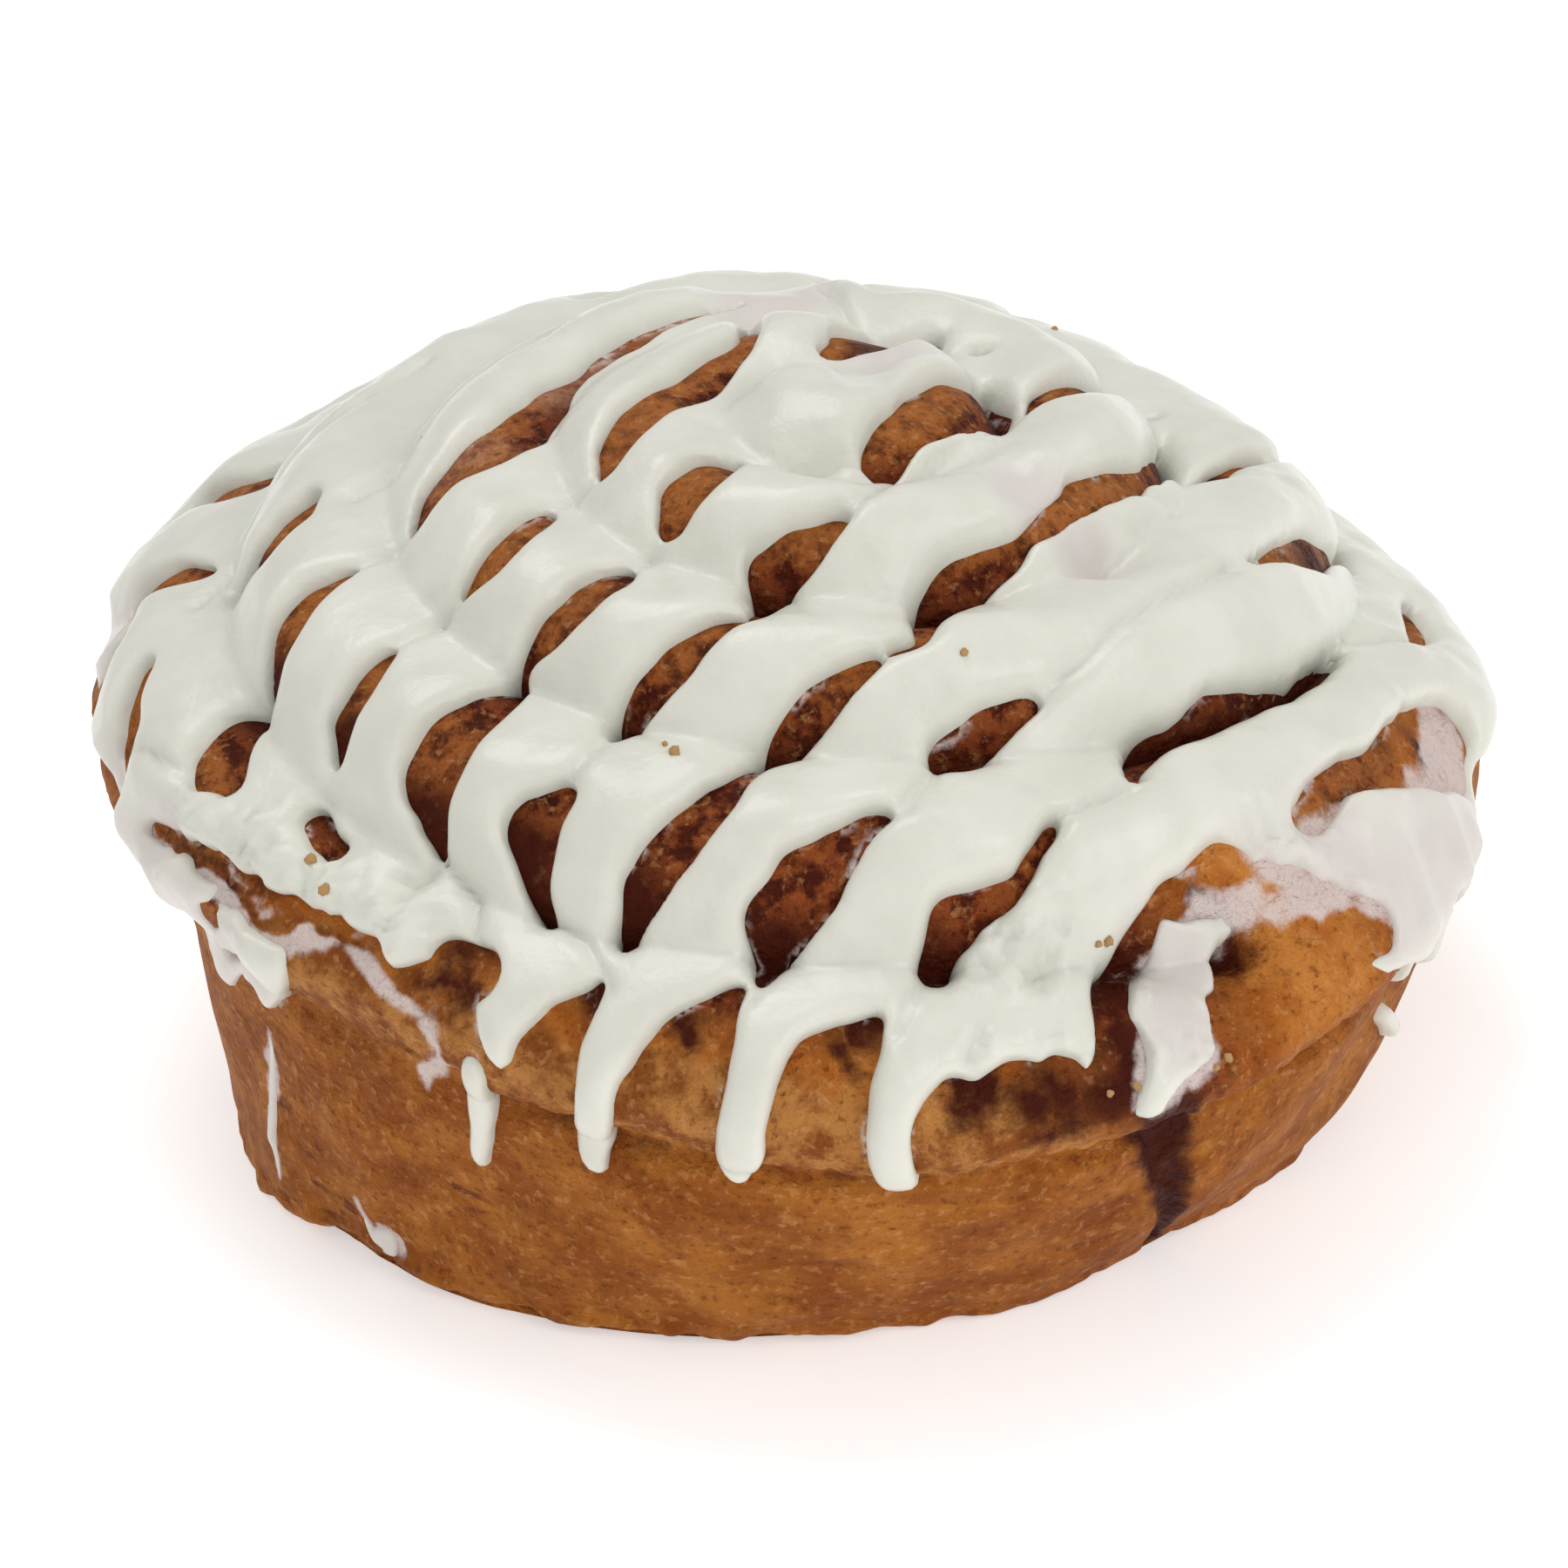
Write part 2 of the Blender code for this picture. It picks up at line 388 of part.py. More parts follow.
def make_sheet(name, grow, bottom, longer, colour):
    """The filling's wound sheet, or with grow and longer above 0 the slot it lies in."""
    top, along = sheet_columns()
    length = np.concatenate([[0], np.cumsum(np.hypot(*np.diff(top[:, :2], axis=0).T))])
    tail = np.clip(1 - (length[-1] - length) / TAIL_LENGTH, 0, 1)
    half = SHEET_HALF + (TAIL_HALF - SHEET_HALF) * tail + grow
    if longer:
        over = top[-1] + (*(along[-1] * longer), 0)
        top, along, half = np.vstack([top, over]), np.vstack([along, along[-1]]), np.append(half, half[-1])
    side = np.stack([-along[:, 1], along[:, 0]], 1)
    points = []
    levels = 4
    for i, (x, y, z) in enumerate(top):
        plan = np.array([x, y])
        if i == 0:
            plan = plan - along[0] * grow
        waist = min(z - 2 * MM, LIP_HEIGHT - 6 * MM)
        foot, knee, middle, full = (narrowing(np.arctan2(y, x), h) for h in (SHEET_BOTTOM, KNEE, waist, z))
        foot += (knee - foot) * (bottom - SHEET_BOTTOM) / (KNEE - SHEET_BOTTOM)
        for height, scale in zip((bottom, KNEE, waist, z + grow), (foot, knee, middle, full)):
            centre = plan * scale / full
            points.append((*(centre + side[i] * half[i]), height))
            points.append((*(centre - side[i] * half[i]), height))
    faces = [(0, 2, 4, 6, 7, 5, 3, 1)]
    row = 2 * levels
    for i in range(len(top) - 1):
        a, b = i * row, (i + 1) * row
        for k in range(levels - 1):
            faces.append((a + 2 * k, b + 2 * k, b + 2 * k + 2, a + 2 * k + 2))
            faces.append((a + 2 * k + 1, a + 2 * k + 3, b + 2 * k + 3, b + 2 * k + 1))
        faces.append((a + row - 2, b + row - 2, b + row - 1, a + row - 1))
        faces.append((a, a + 1, b + 1, b))
    a = (len(top) - 1) * row
    faces.append((a, a + 1, a + 3, a + 5, a + 7, a + 6, a + 4, a + 2))
    return new_object(name, points, faces, colour, 0.35)


def make_floor_cutter():
    """A slab whose top is the plane that the bun stands on."""
    half, deep = 80 * MM, 10 * MM
    corners = [(x * half, y * half, z * deep) for z in (-1, 0) for x, y in ((-1, -1), (1, -1), (1, 1), (-1, 1))]
    faces = [(3, 2, 1, 0), (4, 5, 6, 7), (0, 1, 5, 4), (1, 2, 6, 5), (2, 3, 7, 6), (3, 0, 4, 7)]
    return make_cutter(new_object("base_plane", corners, faces, (0.5, 0.5, 0.5, 1), 0.5))


for old in list(bpy.data.objects):
    bpy.data.objects.remove(old, do_unlink=True)
roll = make_roll()
filling = make_sheet("cinnamon_filling", 0.0, SHEET_BOTTOM, 0.0, (0.16, 0.05, 0.02, 1))
slot = make_cutter(make_sheet("filling_slot", CLEARANCE, -3 * MM, 6 * MM, (0.5, 0.5, 0.5, 1)))
cut(roll, slot)
cut(roll, make_floor_cutter())
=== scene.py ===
# %% [markdown]
# # An iced cinnamon roll
# The real thing is one long strip of dough, spread with cinnamon sugar, wound into a coil and baked in a cup.
# Thick white icing is then trailed across it in slanting rows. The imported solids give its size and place,
# and this lesson makes the fine surfaces: the crust, the sticky filling, the icing and its crumbs.

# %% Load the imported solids
import bpy
import numpy as np
from mathutils import Matrix, Vector, noise


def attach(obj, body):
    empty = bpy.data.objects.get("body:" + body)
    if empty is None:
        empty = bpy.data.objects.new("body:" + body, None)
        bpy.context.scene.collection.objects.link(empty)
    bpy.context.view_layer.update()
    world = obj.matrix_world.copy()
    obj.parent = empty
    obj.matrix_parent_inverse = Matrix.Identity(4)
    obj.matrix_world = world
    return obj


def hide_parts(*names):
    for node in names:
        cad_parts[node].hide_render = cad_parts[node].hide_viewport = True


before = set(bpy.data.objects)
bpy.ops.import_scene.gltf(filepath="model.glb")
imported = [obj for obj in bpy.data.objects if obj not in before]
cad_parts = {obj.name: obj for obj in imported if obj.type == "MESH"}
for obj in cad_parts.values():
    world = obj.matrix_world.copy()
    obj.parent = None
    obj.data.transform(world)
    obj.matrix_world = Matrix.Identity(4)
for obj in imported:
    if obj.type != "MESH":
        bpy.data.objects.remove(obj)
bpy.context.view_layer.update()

MM = 0.001

# %% [markdown]
# ## The bun's outline
# The roll rose in a baking cup, so it has a domed top, a soft lip and a wall that narrows to the base.
# A turned profile could make it, but the coil and the icing have to follow the surface as well. So the
# outline is kept as length down from the top against radius and height, which every later piece reads.

# %% Outline from the top to the base
LIP_RADIUS, LIP_HEIGHT, DOME_HEIGHT = 58.6 * MM, 31.3 * MM, 60.4 * MM
DOME_SIDE_POWER, DOME_TOP_POWER = 1.055, 1.5
NECK_INSET, NECK_DROP = 2.4 * MM, 4.0 * MM
BASE_RADIUS, BASE_ROUND, WALL_BULGE = 48.0 * MM, 2.5 * MM, 1.5


def outline(steps):
    lift = np.linspace(np.pi / 2, 0, 2 * steps)
    dome_r = LIP_RADIUS * np.cos(lift) ** DOME_SIDE_POWER
    dome_z = LIP_HEIGHT + (DOME_HEIGHT - LIP_HEIGHT) * np.sin(lift) ** DOME_TOP_POWER
    turn = np.linspace(0, np.pi / 2, steps // 4)[1:]
    lip_r = LIP_RADIUS - NECK_INSET * (1 - np.cos(turn))
    lip_z = LIP_HEIGHT - NECK_DROP * np.sin(turn)
    up = np.linspace(1, 0, steps)[1:]
    wall_r = BASE_RADIUS + (lip_r[-1] - BASE_RADIUS) * (1 - (1 - up) ** WALL_BULGE)
    wall_z = BASE_ROUND + (lip_z[-1] - BASE_ROUND) * up
    foot_r = BASE_RADIUS - BASE_ROUND * (1 - np.cos(turn))
    foot_z = BASE_ROUND * (1 - np.sin(turn))
    radii = np.hstack([dome_r, lip_r, wall_r, foot_r])
    heights = np.hstack([dome_z, lip_z, wall_z, foot_z])
    line = np.stack([radii, heights], 1)
    run = np.concatenate([[0], np.cumsum(np.hypot(*np.diff(line, axis=0).T))])
    return run, line, run[len(dome_r) - 1]


RUN, LINE, LIP_RUN = outline(400)
SLOPE = np.gradient(LINE, RUN, axis=0)
FACING = np.stack([-SLOPE[:, 1], SLOPE[:, 0]], 1) / np.hypot(*SLOPE.T)[:, None]
print("lip at", round(LIP_RUN / MM, 1), "mm and foot at", round(RUN[-1] / MM, 1), "mm down the surface")

# %% [markdown]
# ## Out of round
# No bun rises evenly. Here the lip stands higher at the left and the back, and the plan is a soft oval.
# A few waves round the even outline give both. Each wave is (waves a turn, cosine part, sine part), and the
# lean is in millimetres.

# %% Place a point on the lopsided bun
LIP_LEAN = ((0, -0.3, 0.0), (1, -4.9, 3.4), (2, 0.3, 0.3), (3, 0.6, 0.1))
LIP_OVAL = ((1, 0.0175, -0.0095), (2, -0.021, -0.043), (3, -0.0155, -0.007), (4, 0.0145, 0.001))
WAIST_OVAL = ((0, -0.02, 0.0), (1, 0.012, 0.0), (2, -0.02, -0.0165))
BASE_OVAL = ((0, 0.0295, 0.0), (1, -0.0105, -0.0245), (2, -0.0075, 0.012), (3, -0.005, -0.013))
PLAN_MIDDLE = np.array([0.66, -0.79, 0]) * MM


def waves(angle, table):
    return sum(a * np.cos(k * angle) + b * np.sin(k * angle) for k, a, b in table)


def swell(angle, rise):
    ends = waves(angle, LIP_OVAL) * rise + waves(angle, BASE_OVAL) * (1 - rise)
    return 1 + ends + 4 * waves(angle, WAIST_OVAL) * rise * (1 - rise)


def surface(angle, run, out):
    r = np.interp(run, RUN, LINE[:, 0]) + out * np.interp(run, RUN, FACING[:, 0])
    z = np.interp(run, RUN, LINE[:, 1]) + out * np.interp(run, RUN, FACING[:, 1])
    share = np.where(z < LIP_HEIGHT, z / LIP_HEIGHT, (DOME_HEIGHT - z) / (DOME_HEIGHT - LIP_HEIGHT))
    r = r * swell(angle, np.clip(z / LIP_HEIGHT, 0, 1))
    z = z + waves(angle, LIP_LEAN) * MM * np.clip(share, -0.2, 1)
    return np.stack([r * np.cos(angle), r * np.sin(angle), np.maximum(z, 0)], -1) - PLAN_MIDDLE


# %% [markdown]
# ## The coil
# Each turn of the strip swells into a ridge, and the turns meet in narrow grooves. The groove is a spiral
# seen from above, so its depth comes from the turn count at each point: whole numbers are grooves. The icing
# flowed over them while it was soft, so it gets a softer copy of the same groove.

# %% How deep in a groove a point is
COIL_CENTRE = (6.5 * MM, 3.1 * MM)
COIL_WIDTH, COIL_TURNS, TAIL_ANGLE = 14.6 * MM, 4.07, -59.0
GROOVE_DEPTH, ICED_GROOVE_DEPTH, GROOVE_POWER = 5.0 * MM, 3.4 * MM, 0.6
TAIL_FADE, RIM_FADE, CENTRE_FADE = 8, 7 * MM, 6 * MM


def groove_share(angle, run, soft=False):
    flat = surface(angle, run, 0.0) + PLAN_MIDDLE
    x, y = flat[..., 0] - COIL_CENTRE[0], flat[..., 1] - COIL_CENTRE[1]
    away = np.hypot(x, y)
    way = np.arctan2(y, x)
    turns = away / COIL_WIDTH - way / (2 * np.pi) - COIL_TURNS
    across = np.abs(2 * (turns % 1) - 1)
    before_tail = np.clip((np.radians(TAIL_ANGLE) - way) / np.radians(TAIL_FADE) + 0.9, 0, 1)
    wound = np.where(turns > -0.5, before_tail, 1)
    rim = np.clip((LIP_RUN + 2 * MM - run) / RIM_FADE, 0, 1)
    if soft:
        shape = 0.6 * across**2 + 0.2 - 0.2 * np.cos(np.pi * across)
    else:
        shape = 1 - (1 - across**2) ** GROOVE_POWER
    return shape * wound * rim * np.clip(away / CENTRE_FADE, 0, 1)


# %% [markdown]
# ## Small unevenness
# Crust is never smooth: it has swellings a few millimetres wide and pores well under one. The swellings are
# real shape, made by moving points with noise. The pores are left to the material's bump, which costs
# nothing. The wall also has broad lumps, each (waves a turn, slant, start, size in millimetres), and a crease
# runs round it below the lip, so many millimetres down the surface.

# %% Lumps of the crust
WALL_LUMPS = ((3, 2, 0.5, 0.45), (5, 1, 1.9, 0.4), (8, 3, 0.3, 0.3), (13, 5, 2.2, 0.22))
CREASE_RUN, CREASE_WANDER, CREASE_HALF = 74.6, 1.2, 1.3


def noise_at(points, size, seed=0.0):
    shift = Vector((seed, 2 * seed, -seed))
    return np.array([noise.noise(Vector(p) / size + shift) for p in points.tolist()])


def wall_lumps(angle, run):
    below = np.clip((run - LIP_RUN) / (6 * MM), 0, 1)
    depth = (run - LIP_RUN) / (RUN[-1] - LIP_RUN)
    lumps = sum(size * np.sin(k * angle + m * depth * 2 + start) for k, m, start, size in WALL_LUMPS)
    return lumps * MM * below


def crust_lift(angle, run):
    """How far the crust stands out before its grooves, the way below the crease, and the crease's depth."""
    plain = surface(angle, run, 0.0)
    lumps = 0.45 * noise_at(plain, 9 * MM) + 0.22 * noise_at(plain, 3.5 * MM, 4.0)
    below = run / MM - CREASE_RUN - CREASE_WANDER * noise_at(plain, 14 * MM, 3.0)
    crease = np.exp(-((below / CREASE_HALF) ** 2)) * (0.6 + 0.5 * noise_at(plain, 7 * MM, 6.0))
    return wall_lumps(angle, run) + lumps * MM, below, crease


# %% [markdown]
# ## Where the icing lies
# The icing was trailed from lower left to upper right in rows about a centimetre apart, and the rows ran
# together. It is easier to say where it is missing: each gap is a line of varying width, read off the surface
# as if it were unrolled round the top, in millimetres. Drips over the lip are lines of the same kind.

# %% Edge of the icing round the rim: angle in degrees, millimetres from the top
ICING_EDGE = (
    (-180, 66), (-165, 67), (-155, 66), (-145, 65), (-138, 62), (-132, 58), (-128, 55), (-66, 55),
    (-62, 61), (-50, 63), (-42, 67), (-35, 71), (-25, 69), (-15, 67), (0, 69), (15, 67), (30, 69),
    (45, 66), (60, 68), (80, 65), (100, 69), (120, 66), (140, 69), (160, 66), (180, 66),
)

# %% Lower edge at the front, where each row runs over the lip in a tongue: (u, v)
FRONT_EDGE = (
    (-50, -36), (-47.8, -40.4), (-45.7, -42.5), (-42.5, -46), (-40.4, -47.4), (-39.9, -50.6),
    (-37.6, -50.8), (-34.4, -51.2), (-30.8, -51.7), (-30.6, -54), (-31.2, -57), (-31, -59.8),
    (-30, -61.2), (-28.6, -61), (-27.4, -59.9), (-25.8, -58.9), (-23, -57.5), (-19.8, -56.6),
    (-17.5, -55.2), (-18.2, -57.3), (-19.8, -59.6), (-21.2, -62), (-23.4, -65.8), (-26.6, -70.5),
    (-27.6, -73), (-26.6, -74.6), (-24.6, -74.6), (-22.6, -72.3), (-19.2, -66.7), (-17.5, -64),
    (-15.6, -62.1), (-12.6, -59.8), (-9.8, -58), (-6.6, -56.8), (-4.7, -56.3), (-6.1, -59.6), (-7, -62.6),
    (-8.2, -65.8), (-10, -70), (-10.7, -73.4), (-9.4, -75.4), (-7.4, -75), (-6, -72), (-4.8, -68.8),
    (-3.8, -65.8), (-2.2, -62.4), (-0.8, -61), (1.7, -59.8), (4.5, -58.9), (6.8, -58.2), (6.1, -59.6),
    (5.6, -61.9), (4.8, -64), (4.1, -66.7), (4.3, -70), (5.1, -73.4), (6.8, -75.4), (8.9, -75),
    (9.6, -72.5), (8.2, -69.5), (7.9, -67.4), (8.4, -65.6), (9.4, -64), (11.2, -62.4), (13.1, -62.4),
    (15.6, -61), (20, -59.5), (22.8, -60), (23.9, -58.7), (23.9, -54), (24.9, -50.8), (27.6, -47.1),
    (30.2, -44.8), (29, -41), (0, -42), (-25, -40), (-43, -34),
)

# %% Drips: lines of (u, v, half width)
DRIPS = (
    ((-33.5, -61, 1.5), (-37, -64.8, 1.9), (-40, -67.8, 1.5), (-43.3, -70.2, 1.3)),
    ((33.5, -46, 0.7), (37, -43.5, 0.9), (41, -41.5, 1.0), (46, -39.5, 1.4)),
    ((-52.5, -43.5, 1.2), (-56, -43.8, 1.0), (-61, -42.6, 1.5), (-63.5, -41.6, 1.7)),
    ((-70, -42, 0.3), (-75, -42.7, 0.9), (-79, -43.3, 0.6), (-86, -45, 0.5)),
    ((-74, -62, 0.5), (-75.2, -64, 0.7), (-72.2, -66.8, 1.6)),
    ((56, -33, 4.2), (60, -37.5, 2.8), (66, -40.5, 1.6)),
    ((62, -27, 3.6), (69, -32, 2.2), (72, -35, 1.3)),
    ((71, -44, 1.2), (76, -42.5, 1.1)),
    ((20, 62, 2.6), (22, 71, 1.3)),
    ((-14, 63, 2.4), (-15, 72, 1.2)),
    ((-44, 48, 2.4), (-49, 54, 1.2)),
    ((49, 43, 2.4), (55, 48, 1.2)),
)

# %% Sheet over the lip at the left, smear beside the strip's tail, and creases between rows
SHEET = (
    (-66, -15), (-67.5, -20), (-68.5, -25), (-69.5, -29), (-72.5, -31.5), (-71, -34.5), (-67.5, -36.2),
    (-65.5, -39), (-60, -40.6), (-54.5, -43.6), (-51.5, -43.2), (-53.8, -39.6), (-56.6, -34.6),
    (-59.2, -28.4), (-61.6, -21.5), (-63, -15),
)
SMEAR = (
    (30, -46.5), (32.6, -46.6), (32.6, -48.5), (33.8, -51.5), (34.3, -54.7), (34.4, -56.2), (32.7, -57.9),
    (30.9, -59.8), (29.5, -61.6), (28.4, -63), (27.2, -62.6), (27.4, -61.2), (28.3, -59.6), (27.7, -57.7),
    (27, -54.9), (28, -51.4), (29.5, -50),
)
CREASES = (
    ((-33.3, -19.8), (-27, -16.7)), ((-18.7, -7.9), (-12.7, -6.3)), ((-36, -6.8), (-29.7, -4)),
    ((-11.7, -19), (-7.3, -14.7)), ((-1, -7), (4, -7.8), (10.3, -6.3)), ((-19, -41), (-15.7, -36.7)),
    ((7, -15.9), (15, -6), (25.3, 6)), ((9.3, -42.7), (13.3, -36)),
    ((21.3, -31), (30, -22), (38.3, -14.3)), ((21, -42.3), (27.3, -38.7)), ((52.7, -10.3), (59.3, -6.3)),
    ((-23.3, -49.7), (-19, -53), (-17.4, -56.6)), ((-3.7, -56.3), (-4.7, -58)),
    ((11, -54), (8.5, -57), (7, -60)), ((-38, -45), (-33, -42.5)),
    ((-33, -42.5), (-30, -47), (-30.5, -52)), ((-56, -20), (-59, -14)),
    ((-35, 4), (-28, 12), (-22, 18), (-14, 25)), ((-52, 2), (-45, 12), (-38, 20), (-28, 30)),
    ((10, 22.3), (8, 30)), ((34, 25.3), (33, 32)), ((48.3, 12.3), (52, 20), (51, 30)),
)

# %% Gaps between the rows: lines of (u, v, half width)
GAPS = (
    ((-52, -25, 0.8), (-53, -20.5, 3.0), (-50.5, -17, 1.6), (-47.5, -17.3, 0.9), (-43, -12, 2.2),
     (-39.3, -8.7, 1.7), (-36, -6.8, 0.5)),
    ((-63, -12.5, 0.9), (-62, -9.5, 1.6), (-59.5, -7.5, 0.8)),
    ((-42, -29.7, 0.4), (-39.7, -25.3, 1.6), (-37.3, -23.3, 1.6), (-34.7, -21, 0.9), (-33.3, -19.8, 0.3)),
    ((-33, -42.5, 0.6), (-33, -38.7, 1.8), (-32.3, -35.3, 3.4), (-28.7, -32, 3.0), (-25.3, -29.3, 1.8),
     (-23.3, -26.8, 0.6)),
    ((-45.8, -32.5, 1.3), (-45, -35.5, 1.1), (-43.8, -37.5, 1.2)),
    ((-62, -21.3, 0.8), (-58.7, -26.7, 1.0), (-56.3, -31.3, 1.4), (-52, -37.3, 1.2), (-48.7, -41.3, 1.2),
     (-44.7, -44.3, 0.6)),
    ((-19, -41, 1.2), (-22.7, -43.3, 3.0), (-23.7, -47.3, 1.4), (-23.3, -49.7, 0.8)),
    ((-33.5, -51.5, 1.8), (-30, -53.5, 2.2)),
    ((-16.3, -53, 0.6), (-13.3, -49.3, 1.8), (-9.3, -45.7, 1.9), (-6, -42.7, 1.4), (-3, -39.7, 0.9),
     (-1.3, -37.7, 0.5), (1.3, -35.3, 1.4), (4, -33, 1.5), (7, -30.7, 0.8), (9.3, -29, 0.3),
     (11.7, -28.3, 0.5), (12.3, -24.7, 1.2), (13.7, -21.7, 1.6), (16, -19.3, 1.8), (19.3, -17.3, 1.1),
     (21.3, -15.3, 0.7), (24.7, -11.3, 0.9), (26.7, -8.7, 1.6), (29.3, -6, 1.6), (32, -3, 1.4),
     (34.7, -0.3, 0.8), (37.3, 5.3, 0.9), (38.7, 8.7, 1.0), (39, 12, 0.5), (39.2, 15, 0.2)),
    ((-3.7, -56.3, 0.6), (-2, -52, 2.4), (1.3, -48.7, 2.6), (4, -46, 1.8), (6.7, -43.7, 0.7),
     (9.3, -42.7, 0.3)),
    ((13.3, -36, 1.4), (16, -34.3, 1.5), (19, -32.3, 0.8), (21.3, -31, 0.2)),
    ((11, -54, 1.2), (12.3, -50.7, 1.7), (15.3, -48.7, 1.2), (18, -47.3, 0.7), (19.3, -44.7, 0.6),
     (21, -42.3, 0.5)),
    ((27.3, -38.7, 0.2), (28.3, -35.3, 0.7), (30, -32.3, 1.2), (33.3, -30, 1.1), (36.7, -26.7, 1.3),
     (40, -24, 1.0), (44, -21.3, 0.7), (47.3, -18, 0.6), (49.3, -15.3, 0.7), (52.7, -10.3, 0.2)),
    ((38.3, -14.3, 0.2), (42.7, -9.7, 0.6), (45.7, -6.7, 1.3), (48.7, -3.3, 1.8), (50.7, 0, 1.5),
     (53, 3, 0.6), (56, 6.7, 0.6), (57.3, 10.7, 0.4), (58.7, 18, 0.2)),
    ((59.3, -6.3, 0.3), (61.3, -2, 1.2), (62, 2, 1.0), (62.7, 6.7, 0.2)),
    ((40, 4.3, 0.5), (41.7, 4.7, 1.0), (43.3, 8, 0.8), (47.3, 11.7, 0.8), (48.3, 12.3, 0.2)),
    ((26, 7, 0.9), (28, 9.4, 2.2), (30.6, 11.6, 2.2), (33, 14.6, 1.7), (35, 18.6, 1.3), (36, 23, 0.8)),
    ((10.3, -6.3, 1.6), (12.7, -2.7, 2.0), (16.7, 1.3, 2.8), (20, 4.9, 3.1), (22.6, 8.8, 2.0),
     (22.4, 12.4, 1.0)),
    ((8.4, 12.2, 1.6), (11, 14.8, 3.2), (14.6, 18.4, 3.0), (17.8, 22, 1.2)),
    ((-12.7, -6.3, 0.8), (-11, -2, 2.0), (-8, 2.7, 2.2), (-4, 6.7, 2.0), (-0.7, 11.3, 1.2), (1, 14, 0.8),
     (1, 18.7, 0.6), (0.3, 22, 0.3)),
    ((-29.7, -4, 1.0), (-27.3, -1.3, 2.2), (-23.3, 1.3, 2.9), (-20, 4.7, 2.6), (-18.3, 8.7, 1.9),
     (-16.7, 12.7, 1.2), (-14, 16, 0.7), (-10.7, 19.7, 0.7), (-7.3, 22.3, 0.8), (-4, 24.3, 0.8),
     (0.7, 27.3, 0.3)),
    ((-46.8, 1.6, 2.2), (-43.5, 2.6, 3.0), (-41, 4.3, 2.6), (-38.4, 7, 0.8)),
    ((-27, -16.7, 0.6), (-24, -15.3, 1.9), (-21.3, -12.7, 1.8), (-19, -9.3, 1.2), (-18.7, -7.9, 0.4)),
    ((-22.7, -26, 0.5), (-19.3, -24.7, 1.8), (-16, -22.7, 2.0), (-13.3, -20.7, 1.9), (-11.7, -19, 0.6)),
    ((-7.3, -14.7, 1.5), (-6, -12, 2.3), (-3.3, -9.3, 2.2), (-1, -7, 0.9)),
    ((-15.7, -36.7, 0.3), (-13.7, -34.3, 0.9), (-10.7, -31.7, 1.5), (-7.3, -29.7, 1.5), (-4, -27, 1.1),
     (-1, -26, 0.6), (0, -23.3, 0.9), (0.7, -19.8, 1.9), (3.3, -18, 1.9), (6, -16.3, 1.0),
     (7, -15.9, 0.3)),
    ((-56.5, 25, 1.8), (-53, 28.5, 3.2), (-48.5, 26, 2.4), (-44, 28, 0.5)),
    ((-59, 12, 2.0), (-55, 10.5, 2.5), (-51.8, 8.8, 1.4)),
    ((-64, 3.2, 1.8), (-61, 4.5, 2.2), (-58.9, 8, 1.3)),
    ((-57.2, -3.2, 1.0), (-60.3, -8, 1.9), (-62.3, -12.4, 1.7)),
    ((-11.3, 33.7, 0.3), (-6, 36.3, 0.5), (-2.7, 37.3, 0.5), (3.3, 40, 0.2)),
    ((21.3, 19.7, 0.4), (23, 19, 0.3)),
    ((38.7, 23, 0.5), (39.7, 20.3, 0.2)),
    ((50.3, 34, 0.6), (51, 36, 0.7), (51.7, 30, 0.4)),
    ((62, -14.5, 2.4), (59.5, -19, 3.8), (55.5, -23, 3.0), (51.5, -27, 1.6), (46.7, -30.7, 1.3),
     (44, -34.7, 1.5), (42, -36.3, 0.7)),
    ((26.7, -63.5, 1.4), (26.3, -58, 1.8), (25.7, -54.7, 1.4), (28, -50, 1.8), (31.3, -45.3, 1.4),
     (36, -42.5, 2.5), (41, -44, 4.0), (46, -43, 3.6), (50.5, -41, 2.0)),
    ((40, -50, 5.0), (37.5, -55, 3.0), (36, -60, 2.4)),
    ((44, -55, 5.0), (52, -48, 4.0)),
)

# Holes in the sheet at the left
SHEET_GAPS = (
    ((-58.9, -34.4, 1.3), (-60.6, -33.2, 1.2)),
    ((-64.4, -35.6, 1.5), (-66.2, -34, 1.2)),
    ((-59.6, -38.6, 1.0), (-61, -37.6, 0.7)),
)

# %% Gaps at the back, in the same manner
BACK_GAPS = (
    ((-38, 30, 0.4), (-34, 35, 1.4), (-29, 39, 1.5), (-24, 42, 0.6)),
    ((-20, 46, 0.5), (-16, 50, 1.6), (-11, 53, 1.5), (-7, 55, 0.6)),
    ((-14, 40, 0.4), (-9, 44, 1.3), (-4, 47, 1.2), (0, 49, 0.4)),
    ((8, 42, 0.5), (12, 47, 1.6), (16, 51, 1.5), (19, 53, 0.5)),
    ((12, 30, 0.6), (16, 33, 1.5), (20, 35.5, 1.2), (23, 37, 0.4)),
    ((26, 42, 0.5), (30, 46, 1.4), (33, 50, 0.8)),
    ((-44, 38, 0.5), (-41, 43, 1.5), (-37, 47, 1.0)),
    ((38, 34, 0.4), (42, 39, 1.3), (44, 43, 0.6)),
)


# %% Distance inside a line or an area, in millimetres
FAR = 1e9


def nearest(u, v, u0, v0, u1, v1):
    """The share of a straight stretch at which it comes nearest to each point, and how near that is."""
    du, dv = u1 - u0, v1 - v0
    t = np.clip(((u - u0) * du + (v - v0) * dv) / (du * du + dv * dv), 0, 1)
    return t, np.hypot(u - u0 - t * du, v - v0 - t * dv)


def reach(u, v, line):
    """How far inside a line of varying width each point lies."""
    best = np.full(u.shape, -FAR)
    for (u0, v0, w0), (u1, v1, w1) in zip(line, line[1:]):
        t, away = nearest(u, v, u0, v0, u1, v1)
        best = np.maximum(best, w0 + (w1 - w0) * t - away)
    return best


